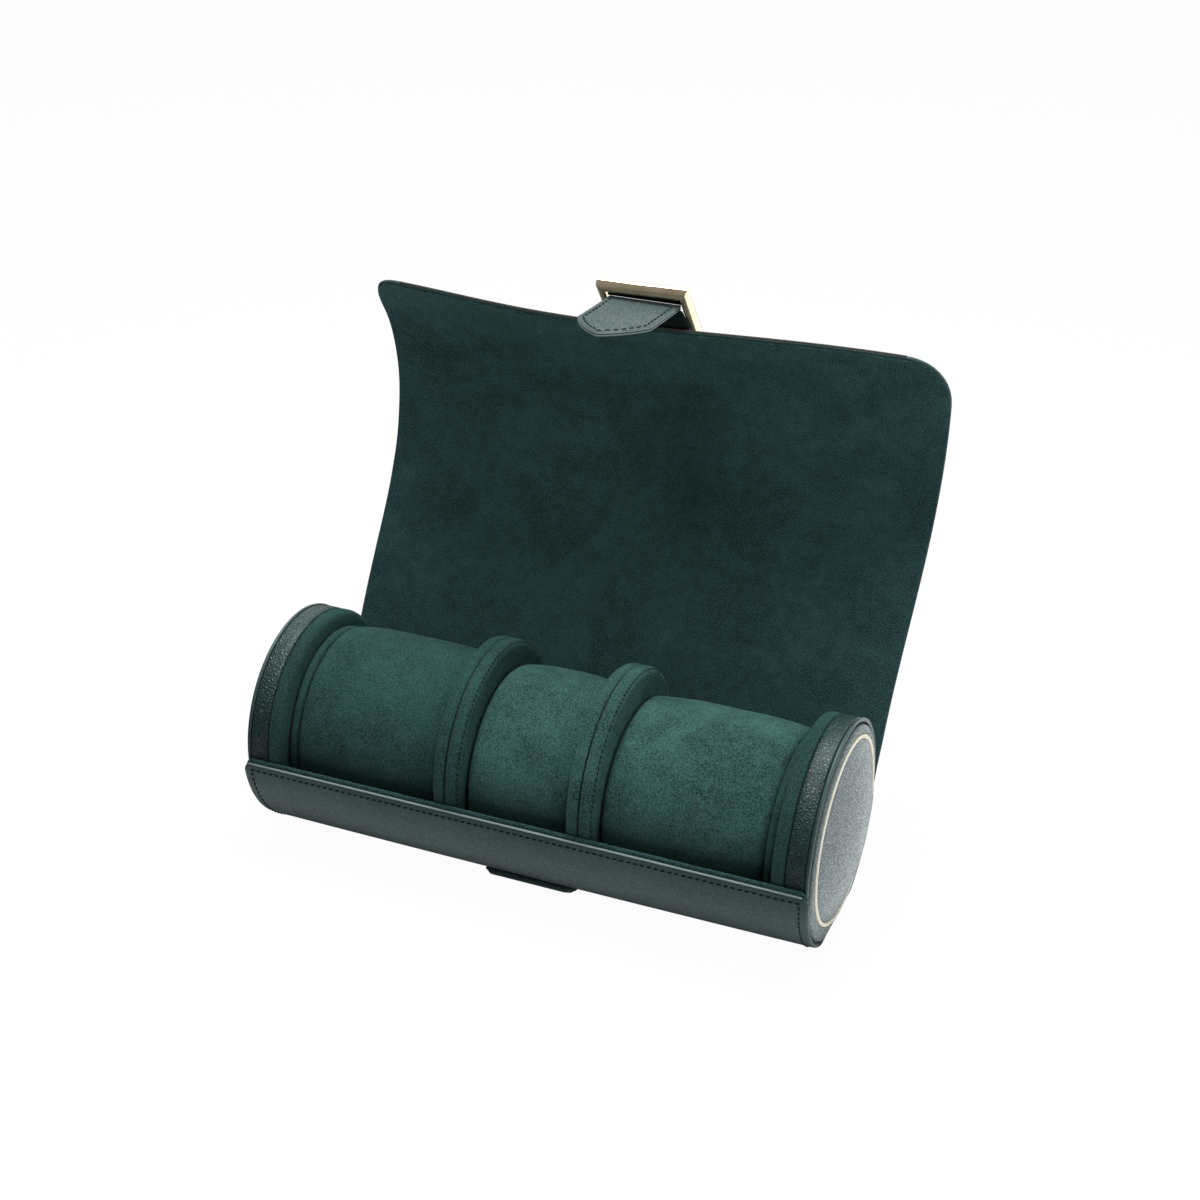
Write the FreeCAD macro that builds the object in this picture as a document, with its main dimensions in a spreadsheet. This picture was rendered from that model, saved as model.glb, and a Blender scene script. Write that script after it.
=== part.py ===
import FreeCAD, Part
import math
import os
import Sketcher

# A cylindrical watch roll, lying open. A tray of leather, board and suede lining is wrapped round
# two end caps and two dividers. Three suede cuffs sit in the tray. The same wrap carries on up the
# back as a flap, which folds along lines across it, and a strap clasp with a metal frame and a
# leather tongue closes it. A low keeper loop on the front underside takes the tongue.
#
# X runs along the roll, Y to the back, Z up. The origin is the middle of the flat that it rests on.

doc = FreeCAD.newDocument("watch_roll")
sheet = doc.addObject("Spreadsheet::Sheet", "sizes")

# Name, value and meaning of every driving size. Lengths are in millimetres, angles in degrees.
SIZES = [
    ("tray_radius", 42.7, "radius of the wrap's inner surface"),
    ("lining_thick", 0.7, "suede lining of the wrap"),
    ("board_thick", 0.7, "stiffening board in the wrap"),
    ("leather_thick", 1.0, "outer leather of the wrap"),
    ("base_sink", 3.6, "how far the flat underneath lies inside the round"),
    ("base_toe", 9.65, "radius between that flat and the round"),
    ("lip_angle", 183.0, "where the front lip ends, turned from the back over the top"),
    ("back_angle", 344.8, "where the wrap leaves the round at the back"),
    ("wall_length", 23.6, "back wall from there up to the flap's first fold"),
    ("wall_angle", -12.0, "how far the back wall leans away along its length"),
    ("lip_corner", 4.0, "corner radius of the front lip"),
    ("short_panel", 23.6, "length of each of the flap's three lower panels"),
    ("long_panel", 31.4, "length of each of the flap's three upper panels"),
    ("flap_corner", 10.5, "corner radius at the flap's free edge"),
    ("fold_gap", 0.4, "gap between two panels at the lining"),
    ("open_share", 0.7, "opening travel of each fold as a share of its closing travel"),
    ("fold_spare_angle", 2.0, "spare angle left in each fold when it is laid open"),
    ("body_length", 232.0, "length over the end caps' rims, and the width of the wrap"),
    ("cap_thick", 15.0, "end cap from its rim to its inner face"),
    ("cap_rim_width", 9.2, "leather band round each end cap"),
    ("cap_cover", 1.0, "thickness of the end caps' covers"),
    ("glue_gap", 0.1, "glue line between pieces that are stuck together"),
    ("cap_face_sink", 1.4, "how far the end cap's core lies inside its rim"),
    ("border_groove", 0.4, "groove between the rim and the border on the end face"),
    ("border_rise", 0.6, "how far the border stands proud of the rim"),
    ("piping_inset", 6.7, "ring of piping on each end, in from the tray's round"),
    ("piping_thick", 1.4, "diameter of the piping"),
    ("panel_dome", 4.8, "crown of each end panel above its edge"),
    ("panel_edge", 1.8, "height of each end panel at its edge"),
    ("divider_centre", 27.7, "half the distance between the dividers"),
    ("divider_offset", 1.3, "how far the pair of dividers sits to the left"),
    ("divider_thick", 11.6, "thickness of each divider"),
    ("divider_raise", 3.0, "how far the dividers stand above the end caps"),
    ("divider_crown", 4.0, "rounding of the dividers' edges"),
    ("divider_cover", 1.2, "suede and padding on each side of a divider"),
    ("seam_width", 1.2, "channel of a sewn seam"),
    ("seam_depth", 0.7, "depth of a sewn seam"),
    ("cuff_side_gap", 4.1, "gap beside a cuff at the middle of its length"),
    ("cuff_crown", 1.3, "how much slimmer a cuff is at its ends"),
    ("cuff_drop", 1.2, "cuff's axis below the roll's axis"),
    ("cuff_corner", 3.2, "rounding of the cuffs' ends"),
    ("cuff_cover", 1.4, "suede and padding round each cuff's core"),
    ("cuff_clear", 0.5, "gap at each end of a cuff"),
    ("cuff_seat_clear", 0.3, "gap under a cuff"),
    ("end_pad_thick", 3.8, "rolled pad on the outer end of each outer cuff"),
    ("end_pad_step", 0.6, "how much slimmer that pad is than the cuff's end"),
    ("strap_width", 29.6, "width of the clasp strap and tongue"),
    ("strap_thick", 1.6, "thickness of the clasp strap"),
    ("strap_length", 28.0, "clasp strap on the flap, from the flap's edge"),
    ("strap_nose", 6.3, "clasp strap beyond the flap's edge"),
    ("strap_rise_angle", 49.0, "how far that end of the strap leans off the flap"),
    ("pad_thick", 1.2, "folded leather under the frame's loop"),
    ("loop_thick", 1.2, "leather of the loop that holds the frame's pivot bar"),
    ("loop_width", 20.0, "width of that loop"),
    ("loop_foot", 4.0, "sewn foot on each side of that loop"),
    ("pivot_radius", 1.5, "round bar that the clasp frame turns on"),
    ("pivot_clear", 0.25, "clearance round the pivot bar"),
    ("pivot_back", 10.7, "pivot bar from the flap's edge, back along the flap"),
    ("frame_width", 38.4, "clasp frame along the roll"),
    ("frame_length", 25.7, "clasp frame from its pivot end to its front"),
    ("frame_bar", 3.8, "width of the clasp frame's bars"),
    ("frame_height", 5.4, "height of the clasp frame's bars"),
    ("frame_bevel", 0.9, "bevel on the clasp frame"),
    ("frame_tilt_angle", 14.3, "how far the frame leans off the line of the flap's edge"),
    ("tongue_gap", 0.4, "gap between the strap and the tongue"),
    ("tongue_layer", 0.9, "thickness of each of the tongue's two layers"),
    ("tongue_bend_angle", 88.0, "how far the tongue bends down from the strap"),
    ("tongue_length", 49.0, "length of the tongue"),
    ("tongue_curve_angle", -4.0, "gentle curve of the tongue"),
    ("tongue_shoulder", 30.0, "straight part of the tongue's sides"),
    ("keeper_half", 18.5, "half the keeper's length along the roll"),
    ("keeper_start_angle", 231.0, "keeper's upper edge"),
    ("keeper_end_angle", 238.0, "keeper's lower edge"),
    ("keeper_gap", 1.6, "room under the empty keeper, which lies nearly flat"),
    ("keeper_thick", 0.9, "thickness of the keeper"),
    ("keeper_foot", 2.6, "width of the keeper's two sewn ends"),
    ("overrun", 5.0, "how far cutting shapes reach past what they cut"),
]
# How far each flap panel curves along its length, and how far each fold turns to close.
PANEL_TURNS = [-5.5, -2.0, 7.0, 20.0, 27.0, 30.0]
FOLD_ANGLES = [46.0, 33.0, 24.0, 16.0, 9.0, 6.0]
# Where the tongue's curved end bulges, as shares of its half width and of its tip's length.
TONGUE_BULGE_SHARES = (0.63, 0.6)

for row, (name, value, meaning) in enumerate(SIZES, start=1):
    sheet.set(f"A{row}", name)
    sheet.set(f"B{row}", str(value))
    sheet.setAlias(f"B{row}", name)
    sheet.set(f"C{row}", meaning)
doc.recompute()

wrap_thick = sheet.lining_thick + sheet.board_thick + sheet.leather_thick
axis_height = sheet.tray_radius + wrap_thick - sheet.base_sink
flat_depth = sheet.tray_radius - sheet.base_sink
flat_half = math.sqrt(sheet.base_sink * (sheet.tray_radius + flat_depth - 2 * sheet.base_toe))
half_body = sheet.body_length / 2
piping_radius = sheet.tray_radius - sheet.piping_inset
piping_expression = "(sizes.tray_radius - sizes.piping_inset)"
cuff_radius = sheet.tray_radius - sheet.cuff_side_gap
cap_face = half_body - sheet.cap_thick
along_roll = FreeCAD.Vector(1, 0, 0)
lie_along = FreeCAD.Rotation(FreeCAD.Vector(0, 1, 0), 90)
sides = (("left", -1), ("right", 1))
sub_parts = []


def on_axis(x, y, z):
    """Point at a depth and a height from the roll's axis."""
    return FreeCAD.Vector(x, y, z + axis_height)


def keep(feature):
    """Makes a document object one of the sub-parts that are written, under its own name."""
    feature.Label = feature.Name
    sub_parts.append(feature)
    return feature


def add_shape(label, shape):
    """Sub-part whose shape is worked out here from the sheet."""
    feature = doc.addObject("Part::Feature", label)
    feature.Shape = shape
    feature.Placement = FreeCAD.Placement()
    return keep(feature)


def add_primitive(kind, name, placement, **expressions):
    """Primitive of the document with its sizes bound to the sheet."""
    feature = doc.addObject(kind, name)
    for size, expression in expressions.items():
        feature.setExpression(size, expression)
    feature.Placement = placement
    return feature


def add_boolean(kind, name, base, tool):
    feature = doc.addObject(kind, name)
    feature.Base = base
    feature.Tool = tool
    return feature


def sum_of(names):
    """Sum of some sizes, as a number and as an expression."""
    expression = " + ".join(f"sizes.{name}" for name in names) or "0"
    return sum(getattr(sheet, name) for name in names), expression


# Sketches

def add_body(name, role):
    """Body with one sketch on the plane of its origin that has this role."""
    body = doc.addObject("PartDesign::Body", name)
    return body, add_sketch(body, role, f"{name}_outline")


def add_sketch(body, role, name):
    plane = next(item for item in body.Origin.OriginFeatures if item.Role == role)
    sketch = body.newObject("Sketcher::SketchObject", name)
    sketch.AttachmentSupport = (plane, [""])
    sketch.MapMode = "FlatFace"
    return sketch


def add_line(sketch, first, last):
    return sketch.addGeometry(Part.LineSegment(FreeCAD.Vector(*first, 0), FreeCAD.Vector(*last, 0)))


def add_arc(sketch, centre, radius, first, last):
    circle = Part.Circle(FreeCAD.Vector(*centre, 0), FreeCAD.Vector(0, 0, 1), radius)
    return sketch.addGeometry(Part.ArcOfCircle(circle, math.radians(first), math.radians(last)))


def tie(sketch, kind, *places):
    return sketch.addConstraint(Sketcher.Constraint(kind, *places))


def bind(sketch, name, expression, kind, *places):
    """Dimension of a sketch, bound to the sheet."""
    index = tie(sketch, kind, *places)
    sketch.renameConstraint(index, name)
    sketch.setExpression(f"Constraints.{name}", expression)


def draw_outline(sketch, label, inset_names, raised=False, outward=False):
    """Outline of a disc that fills the tray: round, with a flat below and rounded toes beside it.

    It lies inside the tray's lining by the named sizes, or outside it. Its upper half can be raised.
    """
    inset, inset_expression = sum_of(inset_names)
    sign = "+" if outward else "-"
    shift = inset if outward else -inset
    radius = sheet.tray_radius + shift
    depth = flat_depth + shift
    toe = sheet.base_toe + shift
    turn = math.degrees(math.atan2(flat_half, depth - toe))
    flat = add_line(sketch, (-flat_half, -depth), (flat_half, -depth))
    heel = add_arc(sketch, (flat_half, toe - depth), toe, -90, turn - 90)
    if raised:
        rise = sheet.divider_raise
        back = add_arc(sketch, (0, 0), radius, turn - 90, 0)
        back_side = add_line(sketch, (radius, 0), (radius, rise))
        top = add_arc(sketch, (0, rise), radius, 0, 180)
        front_side = add_line(sketch, (-radius, rise), (-radius, 0))
        front = add_arc(sketch, (0, 0), radius, 180, 270 - turn)
        middle = [back, back_side, top, front_side, front]
    else:
        back = add_arc(sketch, (0, 0), radius, turn - 90, 270 - turn)
        middle = [back]
    toe_arc = add_arc(sketch, (-flat_half, toe - depth), toe, 270 - turn, 270)
    ring = [flat, heel] + middle + [toe_arc]
    for one, following in zip(ring, ring[1:] + ring[:1]):
        tie(sketch, "Tangent", one, 2, following, 1)
    tie(sketch, "Coincident", back, 3, -1, 1)
    tie(sketch, "Symmetric", flat, 1, flat, 2, -2)
    if raised:
        tie(sketch, "Coincident", front, 3, -1, 1)
        tie(sketch, "Equal", back, front)
        tie(sketch, "Vertical", back_side)
        tie(sketch, "PointOnObject", top, 3, -2)
        bind(sketch, f"{label}_raise", "sizes.divider_raise", "DistanceY", -1, 1, top, 3, rise)
    bind(sketch, f"{label}_toe", f"sizes.base_toe {sign} ({inset_expression})", "Radius", heel, toe)
    bind(sketch, f"{label}_depth", f"sizes.tray_radius - sizes.base_sink {sign} ({inset_expression})",
         "DistanceY", flat, 1, -1, 1, depth)
    bind(sketch, f"{label}_radius", f"sizes.tray_radius {sign} ({inset_expression})",
         "Radius", back, radius)


def add_pad(body, sketch, length_expression):
    pad = body.newObject("PartDesign::Pad", f"{sketch.Name}_pad")
    pad.Profile = sketch
    pad.setExpression("Length", length_expression)
    return pad


# The line of the wrap

class Stretch:
    """Part of the wrap's inner line across the roll: a start, a heading, a turn and a length."""

    def __init__(self, start, heading, turn, length):
        self.start = start
        self.heading = heading
        self.turn = turn
        self.length = length

    def heading_at(self, share):
        return self.heading + self.turn * share

    def place(self, share, out=0.0):
        """Depth and height at a share of the length, moved out from the inner line."""
        first = math.radians(self.heading)
        here = math.radians(self.heading_at(share))
        y, z = self.start
        if self.turn == 0:
            y += self.length * share * math.cos(first)
            z += self.length * share * math.sin(first)
        else:
            radius = self.length / math.radians(self.turn)
            y += radius * (math.sin(here) - math.sin(first))
            z += radius * (math.cos(first) - math.cos(here))
        return y + out * math.sin(here), z - out * math.cos(here)

    def beyond(self, run, out):
        """Depth and height past the end, straight on, moved out."""
        here = math.radians(self.heading_at(1.0))
        y, z = self.place(1.0, out)
        return y + run * math.cos(here), z + run * math.sin(here)

    def edge(self, out, first, last, x):
        shares = (first, (first + last) / 2, last)
        ends = [on_axis(x, *self.place(share, out)) for share in shares]
        if self.turn == 0:
            return Part.LineSegment(ends[0], ends[2]).toShape()
        return Part.Arc(*ends).toShape()

    def onward(self, turn, length):
        return Stretch(self.place(1.0), self.heading_at(1.0), turn, length)


def round_stretch(first, last):
    """Part of the tray's round between two angles."""
    turn = last - first
    angle = math.radians(first)
    start = (sheet.tray_radius * math.cos(angle), sheet.tray_radius * math.sin(angle))
    return Stretch(start, first + 90, turn, sheet.tray_radius * math.radians(turn))


def no_trim(out):
    return 0.0


def even_trim(length):
    return lambda out: length


def fold_trim(angle):
    """Half a fold's gap, which widens outwards so that the fold can be laid open."""
    slope = math.tan(math.radians((angle * sheet.open_share + sheet.fold_spare_angle) / 2))
    return lambda out: sheet.fold_gap / 2 + out * slope


def band(stretches, inner, outer, first_trim, last_trim, width):
    """Layer between two distances out from a line.

    Each trim gives the length cut off that end, at a distance out from the line.
    """
    def side(out):
        edges = []
        for stretch in stretches:
            first = first_trim(out) / stretch.length if stretch is stretches[0] else 0.0
            last = 1 - last_trim(out) / stretch.length if stretch is stretches[-1] else 1.0
            edges.append(stretch.edge(out, first, last, -width / 2))
        return edges

    near = side(inner)
    far = side(outer)
    start = Part.LineSegment(near[0].firstVertex(True).Point, far[0].firstVertex(True).Point).toShape()
    end = Part.LineSegment(near[-1].lastVertex(True).Point, far[-1].lastVertex(True).Point).toShape()
    wire = Part.Wire(Part.__sortEdges__(near + far + [start, end]))
    return Part.Face(wire).extrude(along_roll * width)


def round_corners(solid, end, inward, radius):
    """Rounds the two corners of a layer at an end of the wrap, which runs inward from there at an angle."""
    reach = radius + wrap_thick
    block = Part.makeBox(reach, reach, 2 * reach, FreeCAD.Vector(0, -reach, -reach))
    bar = Part.makeCylinder(radius, 2 * reach, FreeCAD.Vector(0, 0, -reach))
    waste = block.cut(bar)
    depth = end[0] + radius * math.cos(math.radians(inward))
    height = end[1] + radius * math.sin(math.radians(inward))
    slope = FreeCAD.Rotation(along_roll, inward)
    for side, turn in ((1, 0), (-1, -90)):
        corner = waste.copy()
        centre = on_axis(side * (half_body - radius), depth, height)
        quarter = FreeCAD.Rotation(FreeCAD.Vector(0, 0, 1), turn)
        corner.Placement = FreeCAD.Placement(centre, slope * quarter)
        solid = solid.cut(corner)
    return solid


# The tray: three layers from the front lip, under the flat and up the back wall.
toe_turn = math.degrees(math.atan2(flat_half, flat_depth - sheet.base_toe))
toe_length = sheet.base_toe * math.radians(toe_turn)
tray = [round_stretch(sheet.lip_angle, 270 - toe_turn)]
tray.append(tray[-1].onward(toe_turn, toe_length))
tray.append(tray[-1].onward(0, 2 * flat_half))
tray.append(tray[-1].onward(toe_turn, toe_length))
tray.append(round_stretch(270 + toe_turn, sheet.back_angle))
wall = tray[-1].onward(sheet.wall_angle, sheet.wall_length)
tray.append(wall)
layers = [("lining", 0.0, sheet.lining_thick),
          ("board", sheet.lining_thick, sheet.lining_thick + sheet.board_thick),
          ("leather", sheet.lining_thick + sheet.board_thick, wrap_thick)]
for layer, inner, outer in layers:
    solid = band(tray, inner, outer, no_trim, fold_trim(FOLD_ANGLES[0]), sheet.body_length)
    add_shape(f"tray_{layer}", round_corners(solid, tray[0].start, tray[0].heading, sheet.lip_corner))

# The flap: panels that follow on from the back wall, each of the same three layers.
panels = []
line = wall
for index, turn in enumerate(PANEL_TURNS):
    length = sheet.short_panel if index < len(PANEL_TURNS) / 2 else sheet.long_panel
    line = line.onward(turn, length)
    panels.append(line)
last_panel = panels[-1]
for index, panel in enumerate(panels):
    first_trim = fold_trim(FOLD_ANGLES[index])
    last_trim = no_trim if panel is last_panel else fold_trim(FOLD_ANGLES[index + 1])
    for layer, inner, outer in layers:
        solid = band([panel], inner, outer, first_trim, last_trim, sheet.body_length)
        if panel is last_panel:
            solid = round_corners(solid, panel.place(1.0), panel.heading_at(1.0) + 180, sheet.flap_corner)
        add_shape(f"flap_{layer}_{index + 1}", solid)

# The end caps: a core with a leather rim, a suede lining, and a bordered, piped and domed end.
# Each piece is drawn from the cap's inner side outwards, and the left ones are turned round.
rim_start = half_body - sheet.cap_rim_width
core_end = half_body - sheet.cap_face_sink
cover_names = ["glue_gap", "cap_cover"]
ball_radius = ((piping_radius - sheet.piping_thick / 2 - sheet.glue_gap) ** 2
               + sheet.panel_dome ** 2) / (2 * sheet.panel_dome)
panel_top = core_end + sheet.panel_edge + sheet.panel_dome
for side_name, side in sides:
    facing = FreeCAD.Rotation(FreeCAD.Vector(0, 0, 1), 0 if side > 0 else 180)

    rim, outline = add_body(f"cap_rim_{side_name}", "YZ_Plane")
    draw_outline(outline, "outer", ["glue_gap"])
    draw_outline(outline, "inner", cover_names)
    add_pad(rim, outline, "sizes.cap_rim_width")
    rim.Placement = FreeCAD.Placement(on_axis(side * rim_start, 0, 0), facing)
    keep(rim)

    lining, outline = add_body(f"cap_lining_{side_name}", "YZ_Plane")
    draw_outline(outline, "outer", ["glue_gap"])
    add_pad(lining, outline, "sizes.cap_cover")
    wall_outline = add_sketch(lining, "YZ_Plane", f"cap_lining_{side_name}_wall")
    draw_outline(wall_outline, "outer", ["glue_gap"])
    draw_outline(wall_outline, "inner", cover_names)
    add_pad(lining, wall_outline, "sizes.cap_thick - sizes.cap_rim_width")
    lining.Placement = FreeCAD.Placement(on_axis(side * cap_face, 0, 0), facing)
    keep(lining)

    core, outline = add_body(f"cap_core_{side_name}", "YZ_Plane")
    draw_outline(outline, "outer", cover_names)
    add_pad(core, outline, "sizes.cap_thick - sizes.cap_cover - sizes.cap_face_sink")
    core.Placement = FreeCAD.Placement(on_axis(side * (cap_face + sheet.cap_cover), 0, 0), facing)
    keep(core)

    border, outline = add_body(f"cap_border_{side_name}", "YZ_Plane")
    draw_outline(outline, "outer", cover_names + ["border_groove"])
    piping_outer = piping_radius + sheet.piping_thick / 2 + sheet.glue_gap
    hole = outline.addGeometry(Part.Circle(FreeCAD.Vector(), FreeCAD.Vector(0, 0, 1), piping_outer))
    tie(outline, "Coincident", hole, 3, -1, 1)
    bind(outline, "hole", f"{piping_expression} + sizes.piping_thick / 2 + sizes.glue_gap",
         "Radius", hole, piping_outer)
    add_pad(border, outline, "sizes.cap_face_sink + sizes.border_rise")
    border.Placement = FreeCAD.Placement(on_axis(side * core_end, 0, 0), facing)
    keep(border)

    piping_place = FreeCAD.Placement(on_axis(side * (core_end + sheet.piping_thick / 2), 0, 0), lie_along)
    piping = add_primitive("Part::Torus", f"cap_piping_{side_name}", piping_place,
                           Radius1=piping_expression, Radius2="sizes.piping_thick / 2")
    keep(piping)

    # The panel is a disc whose end is part of a large ball.
    disc_name = f"panel_disc_{side_name}"
    panel_disc = add_primitive("Part::Cylinder", disc_name,
                               FreeCAD.Placement(on_axis(side * core_end, 0, 0), facing * lie_along),
                               Radius=f"{piping_expression} - sizes.piping_thick / 2 - sizes.glue_gap",
                               Height="sizes.panel_edge + sizes.panel_dome")
    ball_expression = (f"({disc_name}.Radius ^ 2 + (sizes.panel_dome * 1 mm) ^ 2)"
                       " / (2 * sizes.panel_dome * 1 mm)")
    ball_place = FreeCAD.Placement(on_axis(side * (panel_top - ball_radius), 0, 0), lie_along)
    panel_ball = add_primitive("Part::Sphere", f"panel_ball_{side_name}", ball_place,
                               Radius=ball_expression)
    keep(add_boolean("Part::Common", f"cap_panel_{side_name}", panel_disc, panel_ball))

# The dividers: padded suede walls with rounded edges and a sewn channel round the rim.
for side_name, side in sides:
    first_x = side * sheet.divider_centre - sheet.divider_offset - sheet.divider_thick / 2

    padded, outline = add_body(f"divider_padding_{side_name}", "YZ_Plane")
    draw_outline(outline, "outer", ["glue_gap"], raised=True)
    wall_pad = add_pad(padded, outline, "sizes.divider_thick")
    doc.recompute()
    rims = [f"Face{number}" for number, face in enumerate(wall_pad.Shape.Faces, start=1)
            if abs(face.normalAt(0, 0).x) > 0.5]
    crown = padded.newObject("PartDesign::Fillet", f"divider_crown_{side_name}")
    crown.Base = (wall_pad, rims)
    crown.setExpression("Radius", "sizes.divider_crown")
    seam_outline = add_sketch(padded, "YZ_Plane", f"divider_seam_{side_name}")
    seam_outline.setExpression("AttachmentOffset.Base.z", "(sizes.divider_thick + sizes.seam_width) / 2")
    draw_outline(seam_outline, "outer", ["overrun"], raised=True, outward=True)
    draw_outline(seam_outline, "inner", ["glue_gap", "seam_depth"], raised=True)
    seam = padded.newObject("PartDesign::Pocket", f"divider_channel_{side_name}")
    seam.Profile = seam_outline
    seam.setExpression("Length", "sizes.seam_width")
    padded.Placement.Base = on_axis(first_x, 0, 0)

    core, outline = add_body(f"divider_core_{side_name}", "YZ_Plane")
    draw_outline(outline, "outer", ["glue_gap", "divider_crown"], raised=True)
    add_pad(core, outline, "sizes.divider_thick - 2 * sizes.divider_cover")
    core.Placement.Base = on_axis(first_x + sheet.divider_cover, 0, 0)
    keep(add_boolean("Part::Cut", f"divider_cover_{side_name}", padded, core))
    keep(core)

# The cuffs: crowned suede barrels on a core, the outer two with a rolled pad at their outer end.
cuff_end = cuff_radius - sheet.cuff_crown
cuff_end_expression = "sizes.tray_radius - sizes.cuff_side_gap - sizes.cuff_crown"
seat_height = sheet.cuff_seat_clear - flat_depth


def add_turned(body, profile):
    """Turns a profile once round the line that it starts from."""
    turned = body.newObject("PartDesign::Revolution", f"{profile.Name}_turned")
    turned.Profile = profile
    turned.ReferenceAxis = (profile, ["H_Axis"])
    turned.Angle = 360
    return body


def add_barrel(name, length, length_expression, inset_names):
    """Crowned barrel with rounded ends, slimmer by the named sizes, turned about the cuff's axis."""
    inset, inset_expression = sum_of(inset_names)
    corner = sheet.cuff_corner
    side = cuff_end - inset - corner
    half = length / 2 - corner
    crown_radius = (half ** 2 + sheet.cuff_crown ** 2) / (2 * sheet.cuff_crown)
    spread = math.degrees(math.asin(half / crown_radius))
    body, profile = add_body(name, "XZ_Plane")
    axis = add_line(profile, (0, 0), (length, 0))
    right = add_line(profile, (length, 0), (length, side))
    right_corner = add_arc(profile, (length - corner, side), corner, 0, 90)
    crown = add_arc(profile, (length / 2, side + corner + sheet.cuff_crown - crown_radius), crown_radius,
                    90 - spread, 90 + spread)
    left_corner = add_arc(profile, (corner, side), corner, 90, 180)
    left = add_line(profile, (0, side), (0, 0))
    tie(profile, "Coincident", axis, 1, -1, 1)
    tie(profile, "Horizontal", axis)
    tie(profile, "Coincident", axis, 2, right, 1)
    tie(profile, "Vertical", right)
    tie(profile, "Tangent", right, 2, right_corner, 1)
    tie(profile, "Coincident", right_corner, 2, crown, 1)
    tie(profile, "Coincident", crown, 2, left_corner, 1)
    tie(profile, "Tangent", left_corner, 2, left, 1)
    tie(profile, "Coincident", left, 2, axis, 1)
    tie(profile, "Vertical", left)
    tie(profile, "Equal", right, left)
    tie(profile, "Equal", right_corner, left_corner)
    tie(profile, "Vertical", right_corner, 3, right_corner, 2)
    tie(profile, "Vertical", left_corner, 3, left_corner, 1)
    bind(profile, "length", length_expression, "DistanceX", axis, 1, axis, 2, length)
    bind(profile, "corner", "sizes.cuff_corner", "Radius", left_corner, corner)
    bind(profile, "side",
         f"{cuff_end_expression} - sizes.cuff_corner - ({inset_expression})",
         "DistanceY", left, 2, left, 1, side)
    bind(profile, "crown", f"((({length_expression}) / 2 - sizes.cuff_corner) ^ 2 + sizes.cuff_crown ^ 2)"
         " / (2 * sizes.cuff_crown)", "Radius", crown, crown_radius)
    return add_turned(body, profile)


def add_end_pad(name):
    """Flat disc with a rolled rim, turned about the cuff's axis."""
    thick = sheet.end_pad_thick
    side = cuff_end - sheet.end_pad_step - thick / 2
    body, profile = add_body(name, "XZ_Plane")
    axis = add_line(profile, (0, 0), (thick, 0))
    right = add_line(profile, (thick, 0), (thick, side))
    roll = add_arc(profile, (thick / 2, side), thick / 2, 0, 180)
    left = add_line(profile, (0, side), (0, 0))
    tie(profile, "Coincident", axis, 1, -1, 1)
    tie(profile, "Horizontal", axis)
    tie(profile, "Coincident", axis, 2, right, 1)
    tie(profile, "Vertical", right)
    tie(profile, "Tangent", right, 2, roll, 1)
    tie(profile, "Tangent", roll, 2, left, 1)
    tie(profile, "Coincident", left, 2, axis, 1)
    tie(profile, "Vertical", left)
    bind(profile, "length", "sizes.end_pad_thick", "DistanceX", axis, 1, axis, 2, thick)
    bind(profile, "side",
         f"{cuff_end_expression} - sizes.end_pad_step - sizes.end_pad_thick / 2",
         "DistanceY", left, 2, left, 1, side)
    return add_turned(body, profile)


def add_seated(name, solid, height):
    """Cuts a solid flat where it rests, at a height from the roll's axis."""
    low = on_axis(-half_body, -sheet.tray_radius, height - 2 * sheet.tray_radius)
    below = add_primitive("Part::Box", f"{name}_below", FreeCAD.Placement(low, FreeCAD.Rotation()),
                          Length="sizes.body_length", Width="2 * sizes.tray_radius",
                          Height="2 * sizes.tray_radius")
    return add_boolean("Part::Cut", name, solid, below)


outer_length = ("sizes.body_length / 2 - sizes.cap_thick - sizes.divider_centre - sizes.divider_thick / 2"
                " - sizes.end_pad_thick - 2 * sizes.cuff_clear")
cuffs = [
    ("left", -cap_face + sheet.cuff_clear + sheet.end_pad_thick, f"{outer_length} - sizes.divider_offset",
     -cap_face + sheet.cuff_clear),
    ("middle", -sheet.divider_centre - sheet.divider_offset + sheet.divider_thick / 2 + sheet.cuff_clear,
     "2 * sizes.divider_centre - sizes.divider_thick - 2 * sizes.cuff_clear", None),
    ("right", sheet.divider_centre - sheet.divider_offset + sheet.divider_thick / 2 + sheet.cuff_clear,
     f"{outer_length} + sizes.divider_offset", cap_face - sheet.cuff_clear - sheet.end_pad_thick),
]
outer_run = (cap_face - sheet.divider_centre - sheet.divider_thick / 2 - sheet.end_pad_thick
             - 2 * sheet.cuff_clear)
cuff_runs = {"left": outer_run - sheet.divider_offset,
             "middle": 2 * sheet.divider_centre - sheet.divider_thick - 2 * sheet.cuff_clear,
             "right": outer_run + sheet.divider_offset}
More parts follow.
